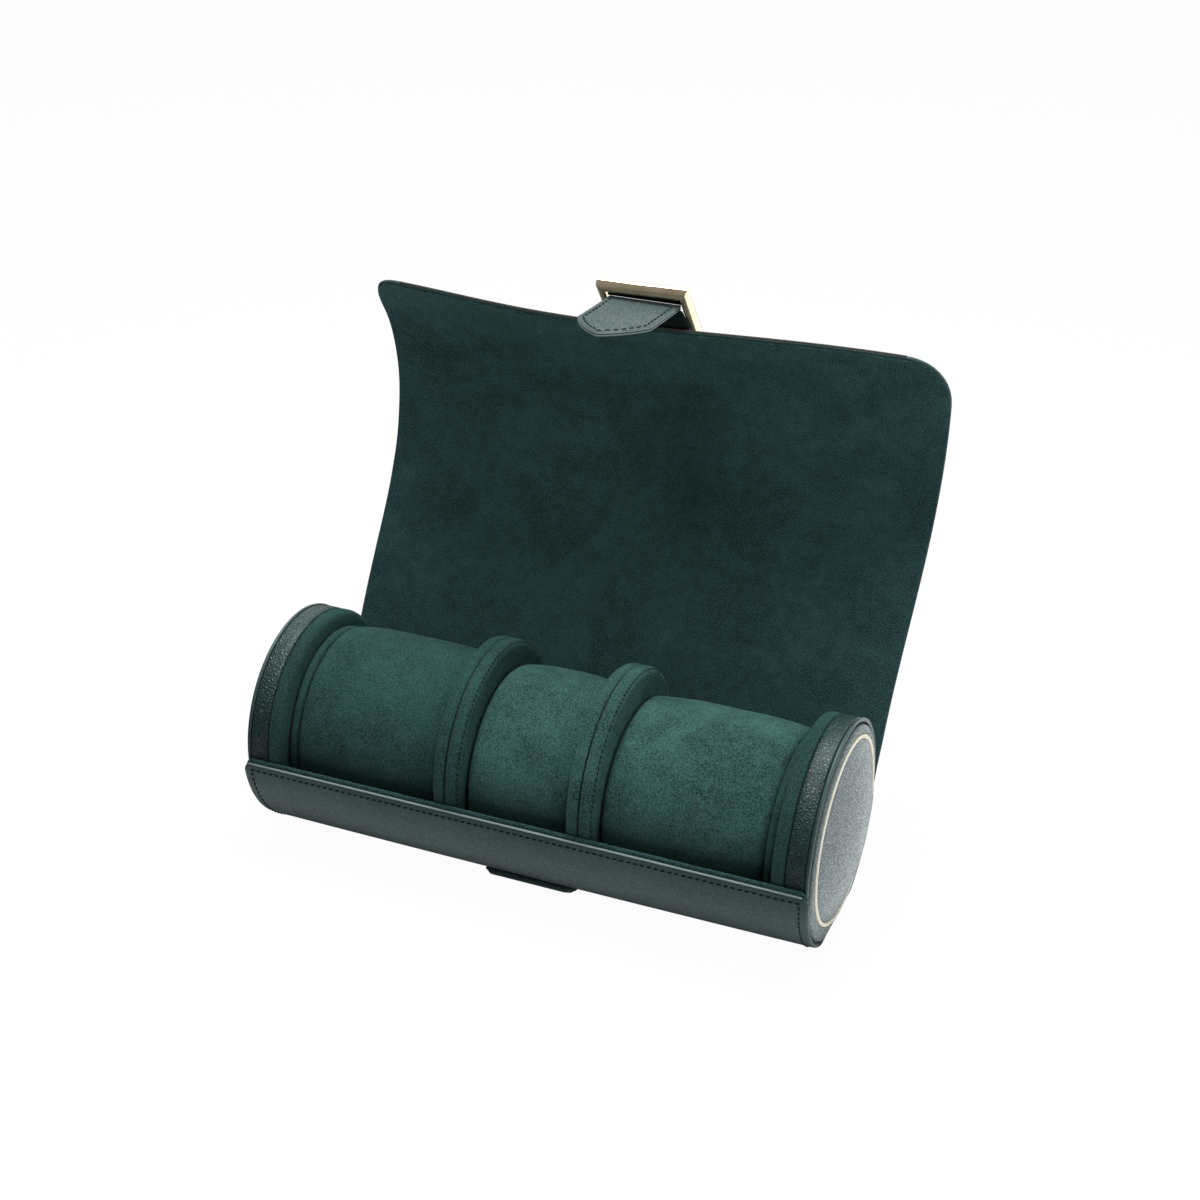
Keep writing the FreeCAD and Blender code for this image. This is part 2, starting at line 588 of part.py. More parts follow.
for cuff_name, first_x, length_expression, pad_x in cuffs:
    run = cuff_runs[cuff_name]
    padded = add_barrel(f"cuff_padding_{cuff_name}", run, length_expression, [])
    padded.Placement.Base = on_axis(first_x, 0, -sheet.cuff_drop)
    core = add_barrel(f"cuff_form_{cuff_name}", run - 2 * sheet.cuff_cover,
                      f"{length_expression} - 2 * sizes.cuff_cover", ["cuff_cover"])
    core.Placement.Base = on_axis(first_x + sheet.cuff_cover, 0, -sheet.cuff_drop)
    seated_core = add_seated(f"cuff_core_{cuff_name}", core, seat_height + sheet.cuff_cover)
    seated_padding = add_seated(f"cuff_seated_{cuff_name}", padded, seat_height)
    keep(add_boolean("Part::Cut", f"cuff_cover_{cuff_name}", seated_padding, seated_core))
    keep(seated_core)
    if pad_x is None:
        continue
    end_pad = add_end_pad(f"end_pad_disc_{cuff_name}")
    end_pad.Placement.Base = on_axis(pad_x, 0, -sheet.cuff_drop)
    keep(add_seated(f"cuff_end_pad_{cuff_name}", end_pad, seat_height))

# The clasp strap, sewn to the outside of the flap's last panel, with its end past the flap's edge.
strap_outer = wrap_thick + sheet.strap_thick
flap_heading = last_panel.heading_at(1.0)
nose_heading = flap_heading - sheet.strap_rise_angle
nose = Stretch(last_panel.beyond(0.0, wrap_thick), nose_heading, 0, sheet.strap_nose)
before_strap = even_trim(last_panel.length - sheet.strap_length)
strap = band([last_panel], wrap_thick, strap_outer, before_strap, no_trim, sheet.strap_width)
strap_end = band([nose], 0.0, sheet.strap_thick, no_trim, no_trim, sheet.strap_width)
add_shape("clasp_strap", strap.fuse(strap_end).removeSplitter())

# A folded pad on the strap carries the loop, and the loop holds the frame's round pivot bar.
pad_outer = strap_outer + sheet.pad_thick
bore_radius = sheet.pivot_radius + sheet.pivot_clear
loop_radius = bore_radius + sheet.loop_thick
pivot_share = 1 - sheet.pivot_back / last_panel.length
pivot = last_panel.place(pivot_share, pad_outer + loop_radius)
foot_reach = loop_radius + sheet.loop_foot
before_loop = even_trim(last_panel.length - sheet.pivot_back - foot_reach)
after_loop = even_trim(sheet.pivot_back - foot_reach)
half_loop = sheet.loop_width / 2
pad = band([last_panel], strap_outer, pad_outer, before_loop, after_loop, sheet.loop_width)
add_shape("clasp_pad", pad)
foot_outer = pad_outer + sheet.loop_thick
foot = band([last_panel], pad_outer, foot_outer, before_loop, after_loop, sheet.loop_width)
hump = Part.makeCylinder(loop_radius, sheet.loop_width, on_axis(-half_loop, *pivot), along_roll)
bore = Part.makeCylinder(bore_radius, sheet.loop_width + 2 * sheet.overrun,
                         on_axis(-half_loop - sheet.overrun, *pivot), along_roll)
under = band([last_panel], pad_outer - loop_radius, pad_outer, before_loop, after_loop,
             sheet.loop_width + 2 * sheet.overrun)
add_shape("clasp_loop", foot.fuse(hump).cut(bore).cut(under).removeSplitter())

# The frame: bevelled side bars and front bar, with the pivot bar across its back.
frame_heading = flap_heading - sheet.frame_tilt_angle
frame_place = FreeCAD.Placement(on_axis(0, *pivot), FreeCAD.Rotation(along_roll, frame_heading))
half_frame = sheet.frame_width / 2
half_height = sheet.frame_height / 2
plate_place = FreeCAD.Placement(FreeCAD.Vector(-half_frame, -bore_radius, -half_height), FreeCAD.Rotation())
plate = add_primitive("Part::Box", "frame_plate", plate_place, Length="sizes.frame_width",
                      Width="sizes.frame_length", Height="sizes.frame_height")
doc.recompute()
bevelled = doc.addObject("Part::Chamfer", "frame_bevelled")
bevelled.Base = plate
bevelled.Edges = [(number, sheet.frame_bevel, sheet.frame_bevel)
                  for number, edge in enumerate(plate.Shape.Edges, start=1)
                  if abs(edge.firstVertex().Point.z - edge.lastVertex().Point.z) < sheet.glue_gap]
window_corner = FreeCAD.Vector(sheet.frame_bar - half_frame, -bore_radius - sheet.overrun,
                               -half_height - sheet.overrun)
window_place = FreeCAD.Placement(window_corner, FreeCAD.Rotation())
window = add_primitive("Part::Box", "frame_window", window_place,
                       Length="sizes.frame_width - 2 * sizes.frame_bar",
                       Width="sizes.frame_length - sizes.frame_bar + sizes.overrun",
                       Height="sizes.frame_height + 2 * sizes.overrun")
bar_place = FreeCAD.Placement(FreeCAD.Vector((sheet.frame_bar - sheet.frame_width) / 2, 0, 0), lie_along)
pivot_bar = add_primitive("Part::Cylinder", "frame_pivot_bar", bar_place, Radius="sizes.pivot_radius",
                          Height="sizes.frame_width - sizes.frame_bar")
opened = add_boolean("Part::Cut", "frame_opened", bevelled, window)
frame = keep(add_boolean("Part::Fuse", "clasp_frame", opened, pivot_bar))
frame.Placement = frame_place

# The tongue: two layers that bend down from the strap's end and run out to a shield-shaped point.
root = nose.beyond(sheet.tongue_gap, 0.0)
blade = Stretch(root, nose.heading + sheet.tongue_bend_angle, sheet.tongue_curve_angle, sheet.tongue_length)
half_tongue = sheet.strap_width / 2
tip_length = sheet.tongue_length - sheet.tongue_shoulder
bulge = (half_tongue * TONGUE_BULGE_SHARES[0], sheet.tongue_shoulder + tip_length * TONGUE_BULGE_SHARES[1])


def plan(x, along):
    """Point of the tongue's outline, laid flat below the tongue."""
    return FreeCAD.Vector(x, along, -sheet.tongue_length)


corners = [plan(-half_tongue, -sheet.overrun), plan(half_tongue, -sheet.overrun),
           plan(half_tongue, sheet.tongue_shoulder), plan(0, sheet.tongue_length + sheet.tongue_layer),
           plan(-half_tongue, sheet.tongue_shoulder)]
outline = Part.Wire([
    Part.LineSegment(corners[0], corners[1]).toShape(),
    Part.LineSegment(corners[1], corners[2]).toShape(),
    Part.Arc(corners[2], plan(*bulge), corners[3]).toShape(),
    Part.Arc(corners[3], plan(-bulge[0], bulge[1]), corners[4]).toShape(),
    Part.LineSegment(corners[4], corners[0]).toShape(),
])
tongue_plan = Part.Face(outline).extrude(FreeCAD.Vector(0, 0, 2 * sheet.tongue_length))
tongue_lean = FreeCAD.Rotation(along_roll, blade.heading_at(0.5))
tongue_plan.Placement = FreeCAD.Placement(on_axis(0, *root), tongue_lean)
for layer, inner in (("backing", 0.0), ("face", sheet.tongue_layer)):
    outer = inner + sheet.tongue_layer
    solid = band([blade], inner, outer, no_trim, no_trim, sheet.strap_width + 2 * sheet.overrun)
    add_shape(f"clasp_tongue_{layer}", solid.common(tongue_plan))

# The keeper: a low bridge across the front underside, sewn down at its two ends.
keeper_line = round_stretch(sheet.keeper_start_angle, sheet.keeper_end_angle)
room_top = wrap_thick + sheet.keeper_gap
keeper_top = room_top + sheet.keeper_thick
bridge = band([keeper_line], wrap_thick, keeper_top, no_trim, no_trim, 2 * sheet.keeper_half)
room = band([round_stretch(sheet.lip_angle, 270)], 0.0, room_top, no_trim, no_trim,
            2 * (sheet.keeper_half - sheet.keeper_foot))
add_shape("keeper_loop", bridge.cut(room))

doc.recompute()

for item in doc.Objects:
    if "Invalid" in item.State or "Error" in item.State:
        raise RuntimeError(f"{item.Label} did not recompute: {item.State}")
for part in sub_parts:
    if part.Shape.isNull() or not part.Shape.isValid() or not part.Shape.Solids:
        raise RuntimeError(f"{part.Label} has no valid solid")

os.makedirs("parts", exist_ok=True)
for part in sub_parts:
    part.Shape.exportStep(f"parts/{part.Label}.step")
    box = part.Shape.optimalBoundingBox()
    print(f"{part.Label}: {len(part.Shape.Solids)} solid, {part.Shape.Volume:.1f} mm3, "
          f"x {box.XMin:.1f} to {box.XMax:.1f}, y {box.YMin:.1f} to {box.YMax:.1f}, "
          f"z {box.ZMin:.1f} to {box.ZMax:.1f}")

# Where the axes of the moving pieces lie, as depth and height.
for index, panel in enumerate(panels):
    print(f"fold {index + 1}: y {panel.start[0]:.4f} z {panel.start[1] + axis_height:.4f}")
print(f"tongue root: y {root[0]:.4f} z {root[1] + axis_height:.4f}")
print(f"frame pivot: y {pivot[0]:.4f} z {pivot[1] + axis_height:.4f}")
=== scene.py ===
import math

import bmesh
import bpy
from mathutils import Matrix, Vector, noise


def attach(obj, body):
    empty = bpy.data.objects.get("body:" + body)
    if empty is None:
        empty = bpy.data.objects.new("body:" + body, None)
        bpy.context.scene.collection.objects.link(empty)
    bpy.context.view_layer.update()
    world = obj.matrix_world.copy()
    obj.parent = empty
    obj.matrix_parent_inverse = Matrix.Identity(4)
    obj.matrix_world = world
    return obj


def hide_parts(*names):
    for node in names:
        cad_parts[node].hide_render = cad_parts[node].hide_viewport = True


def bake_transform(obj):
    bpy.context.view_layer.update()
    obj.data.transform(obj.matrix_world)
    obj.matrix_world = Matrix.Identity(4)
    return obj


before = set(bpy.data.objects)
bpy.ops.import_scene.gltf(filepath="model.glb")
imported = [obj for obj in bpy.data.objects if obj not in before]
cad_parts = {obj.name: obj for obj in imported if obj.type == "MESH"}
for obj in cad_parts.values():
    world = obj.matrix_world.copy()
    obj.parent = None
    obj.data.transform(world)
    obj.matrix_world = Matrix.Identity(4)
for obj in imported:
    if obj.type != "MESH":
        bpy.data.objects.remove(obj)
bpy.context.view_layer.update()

# An open watch roll of dark green leather and suede. Lengths are in millimetres until a mesh is made.
MM = 0.001

# The wrap, which is tray, back wall and flap in one.
BODY_LENGTH = 232.0
TRAY_RADIUS = 42.7
WRAP_THICK = 2.4
BASE_SINK = 3.6
BASE_TOE = 9.65
LIP_ANGLE = 183.0
BACK_ANGLE = 344.8
WALL_LENGTH = 23.6
WALL_TURN = -12.0
SHORT_PANEL = 23.6
LONG_PANEL = 31.4
PANEL_TURNS = [-5.5, -2.0, 7.0, 20.0, 27.0, 30.0]
LIP_CORNER = 4.0
FLAP_CORNER = 17.0
FLAP_CORNER_RUN = 23.0
AXIS_HEIGHT = TRAY_RADIUS + WRAP_THICK - BASE_SINK
HALF_WRAP = BODY_LENGTH / 2

# The flap stands a little twisted: its free edge leans to the right, its left corner reaches further
# forward than its right one, its middle sags in, its right corner curls back and its sides spread.
FLAP_LEAN = 2.6
FLAP_TWIST = 9.2
FLAP_SAG = 3.9
CURL_LEFT = 2.7
CURL_RIGHT = 8.5
CURL_LOW_X = -40.0
SPREAD_LEFT = 4.1
SPREAD_RIGHT = 3.0
SPREAD_POWER = 1.5
LIP_SPREAD = 0.9
LIP_SPREAD_RUN = 40.0
END_TUCK = 1.2
TRAY_BELLY = 0.6
TURN_IN = 9.0
TURN_IN_RIDGE = 0.3
TURN_IN_WIDTH = 2.2

# End caps, each with a leather rim at its outer end, and a ring of piping on its end face.
CAP_THICK = 15.0
RIM_WIDTH = 9.2
RIM_SINK = 1.6
PIPING_INSET = 6.7
PIPING_THICK = 1.8
CAP_FACE = HALF_WRAP - CAP_THICK
RIM_START = HALF_WRAP - RIM_WIDTH
RIM_END = HALF_WRAP - RIM_SINK
PIPING_RADIUS = TRAY_RADIUS - PIPING_INSET

# Dividers. Their pair stands a little to the left.
DIVIDER_CENTRE = 27.7
DIVIDER_OFFSET = 1.3
DIVIDER_CENTRES = {"left": -DIVIDER_CENTRE - DIVIDER_OFFSET, "right": DIVIDER_CENTRE - DIVIDER_OFFSET}
DIVIDER_HALF = 5.8
DIVIDER_RAISE = 3.0
DIVIDER_CROWN = 2.9
SEAM_PLACE = -0.3
SEAM_DEPTH = 1.7

# Cuffs, with a clearance at each end, and a rolled pad on the outer end of each outer cuff.
CUFF_SIDE_GAP = 4.1
CUFF_DROP = 1.2
CUFF_SEAT_CLEAR = 0.3
CUFF_CLEAR = 0.5
CUFF_CROWN = 1.3
CUFF_CORNER = 3.2
END_PAD_THICK = 3.8
END_PAD_STEP = 0.6
CUFF_RADIUS = TRAY_RADIUS - CUFF_SIDE_GAP
CUFF_AXIS = AXIS_HEIGHT - CUFF_DROP
CUFF_SEAT = WRAP_THICK + CUFF_SEAT_CLEAR
PAD_END = CAP_FACE - CUFF_CLEAR
CUFF_END = PAD_END - END_PAD_THICK
DIVIDER_REACH = DIVIDER_HALF + CUFF_CLEAR
CUFF_SPANS = {
    "left": (-CUFF_END, DIVIDER_CENTRES["left"] - DIVIDER_REACH),
    "middle": (DIVIDER_CENTRES["left"] + DIVIDER_REACH, DIVIDER_CENTRES["right"] - DIVIDER_REACH),
    "right": (DIVIDER_CENTRES["right"] + DIVIDER_REACH, CUFF_END),
}
CUFF_LIFTS = {"left": 1.3, "middle": 0.0, "right": -1.9}
END_PADS = {"left": (-PAD_END, -CUFF_END), "right": (CUFF_END, PAD_END)}
END_PAD_RADIUS = CUFF_RADIUS - CUFF_CROWN - END_PAD_STEP

# The clasp: a strap on the flap, a loop that holds the metal frame, a tongue, and the keeper below the lip.
STRAP_HALF = 14.8
STRAP_THICK = 1.6
STRAP_LENGTH = 28.0
STRAP_NOSE = 6.3
STRAP_RISE = 49.0
NOSE_SAG_SHARE = 0.45
PAD_THICK = 1.2
LOOP_THICK = 1.2
LOOP_HALF = 10.0
LOOP_FOOT = 4.0
PIVOT_RADIUS = 1.5
PIVOT_CLEAR = 0.25
PIVOT_BACK = 10.7
FRAME_WIDTH = 38.4
FRAME_LENGTH = 25.7
FRAME_BAR = 3.8
FRAME_HEIGHT = 5.4
FRAME_ROUND = 1.88
FRAME_DRAFT = 0.78
STRAP_FLARE = 0.18
FRAME_TILT = 14.3
FRAME_YAW = 2.2
TONGUE_GAP = 0.4
TONGUE_LAYER = 0.9
TONGUE_KINK = 88.0
TONGUE_LENGTH = 49.0
TONGUE_TURN = -4.0
TONGUE_SHOULDER = 31.5
TONGUE_BULGE_SHARES = (0.54, 0.6)
KEEPER_HALF = 18.5
KEEPER_START = 231.0
KEEPER_END = 238.0
KEEPER_GAP = 1.6
KEEPER_THICK = 0.9
KEEPER_FOOT = 2.6

scene = bpy.context.scene


# Sockets of shader and geometry nodes

class Wire:
    """A socket in a tree of nodes. Arithmetic on it adds Math nodes."""

    def __init__(self, tree, socket=None):
        self.tree = tree
        self.socket = socket

    def node(self, kind, settings=None, output=0, **links):
        """Adds a node: its settings first, then the values or links of its sockets by identifier."""
        made = self.tree.nodes.new(kind)
        for name, value in (settings or {}).items():
            setattr(made, name, value)
        for name, value in links.items():
            self.feed(made, name.replace("__", " "), value)
        sockets = {socket.identifier: socket for socket in made.outputs}
        return Wire(self.tree, sockets[output] if isinstance(output, str) else made.outputs[output])

    def feed(self, made, name, value):
        socket = next(item for item in made.inputs if name in (item.identifier, item.name))
        if isinstance(value, Wire):
            self.tree.links.new(value.socket, socket)
        else:
            socket.default_value = value

    def also(self, output):
        """Another output of the same node."""
        return Wire(self.tree, self.socket.node.outputs[output])

    def maths(self, operation, one, two, clamp=False):
        return self.node("ShaderNodeMath", {"operation": operation, "use_clamp": clamp},
                         Value=one, Value_001=two)

    def __add__(self, other):
        return self.maths("ADD", self, other)

    __radd__ = __add__

    def __mul__(self, other):
        return self.maths("MULTIPLY", self, other)

    __rmul__ = __mul__

    def __sub__(self, other):
        return self.maths("SUBTRACT", self, other)

    def __rsub__(self, other):
        return self.maths("SUBTRACT", other, self)

    def clamped(self):
        return self.maths("MULTIPLY", self, 1.0, clamp=True)

    def between(self, low, high):
        """0 below low, 1 above high and smooth between."""
        return self.node("ShaderNodeMapRange", {"interpolation_type": "SMOOTHSTEP"}, Value=self,
                         From__Min=low, From__Max=high, To__Min=0.0, To__Max=1.0)

    def grain(self, scale, detail, output="Fac", **more):
        """Noise over this place. The scale is in blotches per metre."""
        return self.node("ShaderNodeTexNoise", None, output, Vector=self, Scale=scale, Detail=detail, **more)

    def blend(self, one, two):
        """Colour between two, with this as the share."""
        return self.node("ShaderNodeMix", {"data_type": "RGBA"}, "Result_Color",
                         Factor_Float=self, A_Color=one, B_Color=two)


def new_material(name, **constants):
    """Material with a shader whose plain values are set, and the flat place on the piece."""
    material = bpy.data.materials.new(name)
    material.use_nodes = True
    tree = material.node_tree
    shader = tree.nodes["Principled BSDF"]
    for socket, value in constants.items():
        shader.inputs[socket.replace("__", " ")].default_value = value
    start = Wire(tree)
    lay = start.node("ShaderNodeAttribute", {"attribute_name": "lay"}, "Vector")
    return material, shader, start, lay


def colour(red, green, blue):
    return (red, green, blue, 1.0)


# Painted shade ramps: where suede starts to lighten and is fully lit, by height in the tray and by length up
# the flap.
TRAY_SHADE_RAMP = ("Z", 0.038, 0.06)
FLAP_SHADE_RAMP = ("Y", 0.235, 0.3)
NAP_DEPTH = 0.4
NAP_FLOOR = 0.06
STROKE_SHARE = 0.17
FIBRE_SHARE = 0.72


def suede(name, deep, lit, sheen, cloud, shade_ramp, shade_least):
    """Brushed suede: patches and strokes where the fibres lie another way, and a fine speckle of fibre.

    Painted shade: below the ramp only the least share of the lit side shows, rising to all of it above.
    """
    axis, low, high = shade_ramp
    material, shader, start, lay = new_material(
        name, Sheen__Weight=sheen, Sheen__Roughness=0.5, Sheen__Tint=colour(0.4, 0.8, 0.74),
        Specular__IOR__Level=0.1)
    patches = lay.grain(34.0, 3.0, Roughness=0.55, Distortion=0.8)
    strokes = lay.grain(190.0, 3.0, Roughness=0.6, Distortion=0.6)
    fibre = lay.grain(1700.0, 2.0, Roughness=0.7)
    way = start.node("ShaderNodeSeparateXYZ", None, axis, Vector=lay)
    # Painted shade, darker low in the tray and low on the flap.
    painted_light = way.between(low, high) * (1 - shade_least) + shade_least
    nap_and_shade = (patches.between(0.3, 0.7) * cloud + strokes.between(0.3, 0.7) * STROKE_SHARE
           + fibre.between(0.33, 0.67) * FIBRE_SHARE - NAP_FLOOR).clamped() * painted_light
    start.feed(shader, "Base Color", nap_and_shade.blend(colour(*deep), colour(*lit)))
    start.feed(shader, "Roughness", 0.98 - nap_and_shade * 0.1)
    bump = start.node("ShaderNodeBump", Strength=0.6, Distance=NAP_DEPTH * MM, Height=fibre + strokes * 0.6)
    start.feed(shader, "Normal", bump)
    return material


def leather(name, dark, light, pebble, depth, smooth, gloss, wax):
    """Grained leather: small pebbles with creases between, and a waxed sheen on their tops.

    Pebbles are counted per metre, and their depth is in millimetres.
    """
    material, shader, start, lay = new_material(name, Coat__Roughness=0.3, Specular__IOR__Level=gloss,
                                                Specular__Tint=colour(0.78, 1.0, 0.98))
    warp = lay.grain(pebble * 0.5, 2.0, "Color")
    bent = start.node("ShaderNodeVectorMath", {"operation": "MULTIPLY_ADD"}, Vector=warp,
                      Vector_001=[0.9 / pebble] * 3, Vector_002=lay)
    cells = start.node("ShaderNodeTexVoronoi", {"feature": "DISTANCE_TO_EDGE"}, "Distance",
                       Vector=bent, Scale=pebble)
    tops = cells.between(0.0, 0.36)
    pores = lay.grain(pebble * 2.6, 2.0)
    tone = lay.grain(30.0, 3.0)
    # Painted shade in the creases: darker between the pebbles and lighter on their tops, under a random tone.
    crease_shade_and_tone = (tops * 0.55 + tone.between(0.25, 0.75) * 0.45).clamped()
    start.feed(shader, "Base Color", crease_shade_and_tone.blend(colour(*dark), colour(*light)))
    start.feed(shader, "Roughness", smooth + pores * 0.16 + (1 - tops) * 0.2)
    start.feed(shader, "Coat Weight", tops * wax)
    bump = start.node("ShaderNodeBump", Strength=1.0, Distance=depth * MM, Height=tops + pores * 0.3)
    start.feed(shader, "Normal", bump)
    return material


def thread(name, dark, light):
    material, shader, start, lay = new_material(name, Specular__IOR__Level=0.15)
    twist = start.node("ShaderNodeTexWave", {"bands_direction": "DIAGONAL"}, "Fac", Vector=lay,
                       Scale=900.0, Distortion=1.0)
    start.feed(shader, "Base Color", twist.blend(dark, light))
    start.feed(shader, "Roughness", 0.75 - twist * 0.15)
    return material


def polished_gold(name):
    material, shader, start, lay = new_material(name, Metallic=0.82)
    haze = lay.grain(160.0, 4.0)
    hairs = lay.grain(1400.0, 2.0)
    start.feed(shader, "Base Color", haze.between(0.3, 0.7).blend(
        colour(0.76, 0.6, 0.4), colour(0.87, 0.74, 0.53)))
    start.feed(shader, "Roughness", 0.03 + haze * 0.03 + hairs * 0.02)
    return material


SUEDE_DEEP = (0.008, 0.016, 0.0165)
# Each suede: deep and lit colour, sheen, share of clouds, its painted shade's ramp and least lit share.
SUEDES = {
    "cuff": (SUEDE_DEEP, (0.052, 0.142, 0.132), 0.08, 0.24, TRAY_SHADE_RAMP, 0.3),
    "shaded": (SUEDE_DEEP, (0.03, 0.09, 0.084), 0.05, 0.24, TRAY_SHADE_RAMP, 0.3),
    "divider": (SUEDE_DEEP, (0.046, 0.125, 0.116), 0.08, 0.24, TRAY_SHADE_RAMP, 0.5),
    "lining": ((0.007, 0.0145, 0.0155), (0.047, 0.118, 0.118), 0.06, 0.2, FLAP_SHADE_RAMP, 0.72),
    "cap": (SUEDE_DEEP, (0.026, 0.078, 0.071), 0.07, 0.2, TRAY_SHADE_RAMP, 0.6),
}
# Each leather: dark and light colour, pebbles and their depth, roughness, gloss and wax.
LEATHERS = {
    "rim": ((0.002, 0.011, 0.01), (0.008, 0.034, 0.032), 820.0, 0.2, 0.26, 0.55, 0.4),
    "bead": ((0.012, 0.03, 0.029), (0.024, 0.054, 0.052), 1600.0, 0.02, 0.28, 0.7, 0.1),
    "wrap": ((0.015, 0.032, 0.033), (0.026, 0.053, 0.054), 1100.0, 0.035, 0.36, 0.45, 0.1),
    "strap": ((0.003, 0.006, 0.006), (0.007, 0.014, 0.014), 1100.0, 0.05, 0.6, 0.15, 0.0),
    # end and border: lighter and bluer than the rim, partly their own colour and partly a painted sheen from
    # the right.
    "end": ((0.03, 0.045, 0.05), (0.065, 0.085, 0.102), 1000.0, 0.05, 0.34, 1.0, 1.0),
    "border": ((0.022, 0.038, 0.04), (0.05, 0.074, 0.078), 850.0, 0.07, 0.4, 0.8, 0.8),
    "tongue": ((0.012, 0.028, 0.028), (0.075, 0.104, 0.102), 900.0, 0.12, 0.44, 0.45, 0.1),
    # edge: the tongue's edge paint, and the lip's bead, whose light grey is a painted highlight.
    "edge": ((0.16, 0.2, 0.2), (0.24, 0.28, 0.28), 1900.0, 0.02, 0.4, 0.6, 0.1),
    "raw": ((0.03, 0.028, 0.025), (0.085, 0.078, 0.068), 1900.0, 0.03, 0.6, 0.3, 0.1),
    "piping": ((0.8, 0.76, 0.63), (0.93, 0.9, 0.78), 1500.0, 0.02, 0.45, 0.4, 0.1),
}
SUEDE = {name: suede(f"suede_{name}", *look) for name, look in SUEDES.items()}
LEATHER = {name: leather(f"leather_{name}", *look) for name, look in LEATHERS.items()}
THREAD_DARK = thread("thread_dark", colour(0.002, 0.004, 0.004), colour(0.005, 0.01, 0.009))
THREAD_GREEN = thread("thread_green", colour(0.002, 0.009, 0.007), colour(0.006, 0.024, 0.019))
GOLD = polished_gold("polished_gold")


# Meshes

FILL_SHARES = (0.66, 0.33)


class Skin:
    """Rings of points, in millimetres, that become one mesh."""

    def __init__(self):
        self.points = []
        self.lays = []
        self.faces = []

    def ring(self, points, lays=None):
        """Adds points and gives their numbers. A lay is where a point is on the flat material."""
        first = len(self.points)
        self.points += [Vector(point) for point in points]
        self.lays += [Vector(lay) for lay in (lays or points)]
        return list(range(first, len(self.points)))

    def laid(self, flat, height, place):
        """Ring of flat points at a height, each put in its place."""
        spots = [(x, y, height) for x, y in flat]
        return self.ring([place(*spot) for spot in spots], spots)

    def join(self, one, two, closed=False):
        """Faces between two rings of the same count."""
        count = len(one)
        for index in range(count if closed else count - 1):
            after = (index + 1) % count
            self.faces.append((one[index], one[after], two[after], two[index]))

    def loft(self, rings, closed=False, looped=False):
        """Faces between each ring and the next, and with looped from the last to the first."""
        for one, two in zip(rings, rings[1:]):
            self.join(one, two, closed)
        if looped:
            self.join(rings[-1], rings[0], closed)

    def close(self, ring, centre):
        """Fills a closed ring with two smaller rings and a middle point."""
        centre = Vector(centre)
        for share in FILL_SHARES:
            inner = self.ring([centre.lerp(self.points[index], share) for index in ring])
            self.join(ring, inner, closed=True)
            ring = inner
        middle = self.ring([centre])[0]
        for index, here in enumerate(ring):
            self.faces.append((here, ring[(index + 1) % len(ring)], middle))

    def fill(self, rings, first_x, last_x, height):
        """Closes the first and the last ring, each about a point above the middle of the roll."""
        self.close(rings[0], (first_x, 0, height))
        self.close(rings[-1], (last_x, 0, height))

    def ends(self, rings):
        """One face over the first ring and one over the last."""
        self.faces.append(tuple(rings[0]))
        self.faces.append(tuple(rings[-1]))

    def piece(self, name, material, facing=None):
        """Object of this skin. facing is a point and the way out there, for a skin that isn't closed."""
        mesh = bpy.data.meshes.new(name)
        mesh.from_pydata([point * MM for point in self.points], [], self.faces)
        lay = mesh.attributes.new("lay", "FLOAT_VECTOR", "POINT")
        lay.data.foreach_set("vector", [value * MM for point in self.lays for value in point])
        work = bmesh.new()
        work.from_mesh(mesh)
        bmesh.ops.recalc_face_normals(work, faces=work.faces)
        if facing is not None:
            place = Vector(facing[0]) * MM
            near = min(work.faces, key=lambda face: (face.calc_center_median() - place).length)
            if near.normal.dot(Vector(facing[1])) < 0:
                bmesh.ops.reverse_faces(work, faces=work.faces)
        for face in work.faces:
            face.smooth = True
        work.to_mesh(mesh)
        work.free()
        mesh.materials.append(material)
        made = bpy.data.objects.new(name, mesh)
        scene.collection.objects.link(made)
        return made


def settle(piece, body, slot, *replaced):
    """Parents a finished piece to its body and hides the solids that it replaces. The slot is not used."""
    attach(piece, body)
    if replaced:
        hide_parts(*replaced)
    return piece


def soft(point, size, amount):
    """Soft unevenness of stuffed suede at a point: its size across and its height."""
    return amount * noise.noise(Vector(point) / size)


# The line of the wrap, from the front lip under the tray and up the flap

class Stretch:
    """Part of the wrap's inner line across the roll: a start, a heading, a turn and a length."""

    def __init__(self, start, heading, turn, length):
        self.start = start
        self.heading = heading
        self.turn = turn
        self.length = length

    def heading_at(self, share):
        return self.heading + self.turn * share

    def place(self, share, out=0.0):
        first = math.radians(self.heading)
        here = math.radians(self.heading_at(share))
        y, z = self.start
        if self.turn == 0:
            y += self.length * share * math.cos(first)
            z += self.length * share * math.sin(first)
        else:
            radius = self.length / math.radians(self.turn)
            y += radius * (math.sin(here) - math.sin(first))
            z += radius * (math.cos(first) - math.cos(here))
        return y + out * math.sin(here), z - out * math.cos(here)

    def onward(self, turn, length):
        return Stretch(self.place(1.0), self.heading_at(1.0), turn, length)


def round_stretch(first, last):
    angle = math.radians(first)
    start = (TRAY_RADIUS * math.cos(angle), AXIS_HEIGHT + TRAY_RADIUS * math.sin(angle))
    return Stretch(start, first + 90, last - first, TRAY_RADIUS * math.radians(last - first))


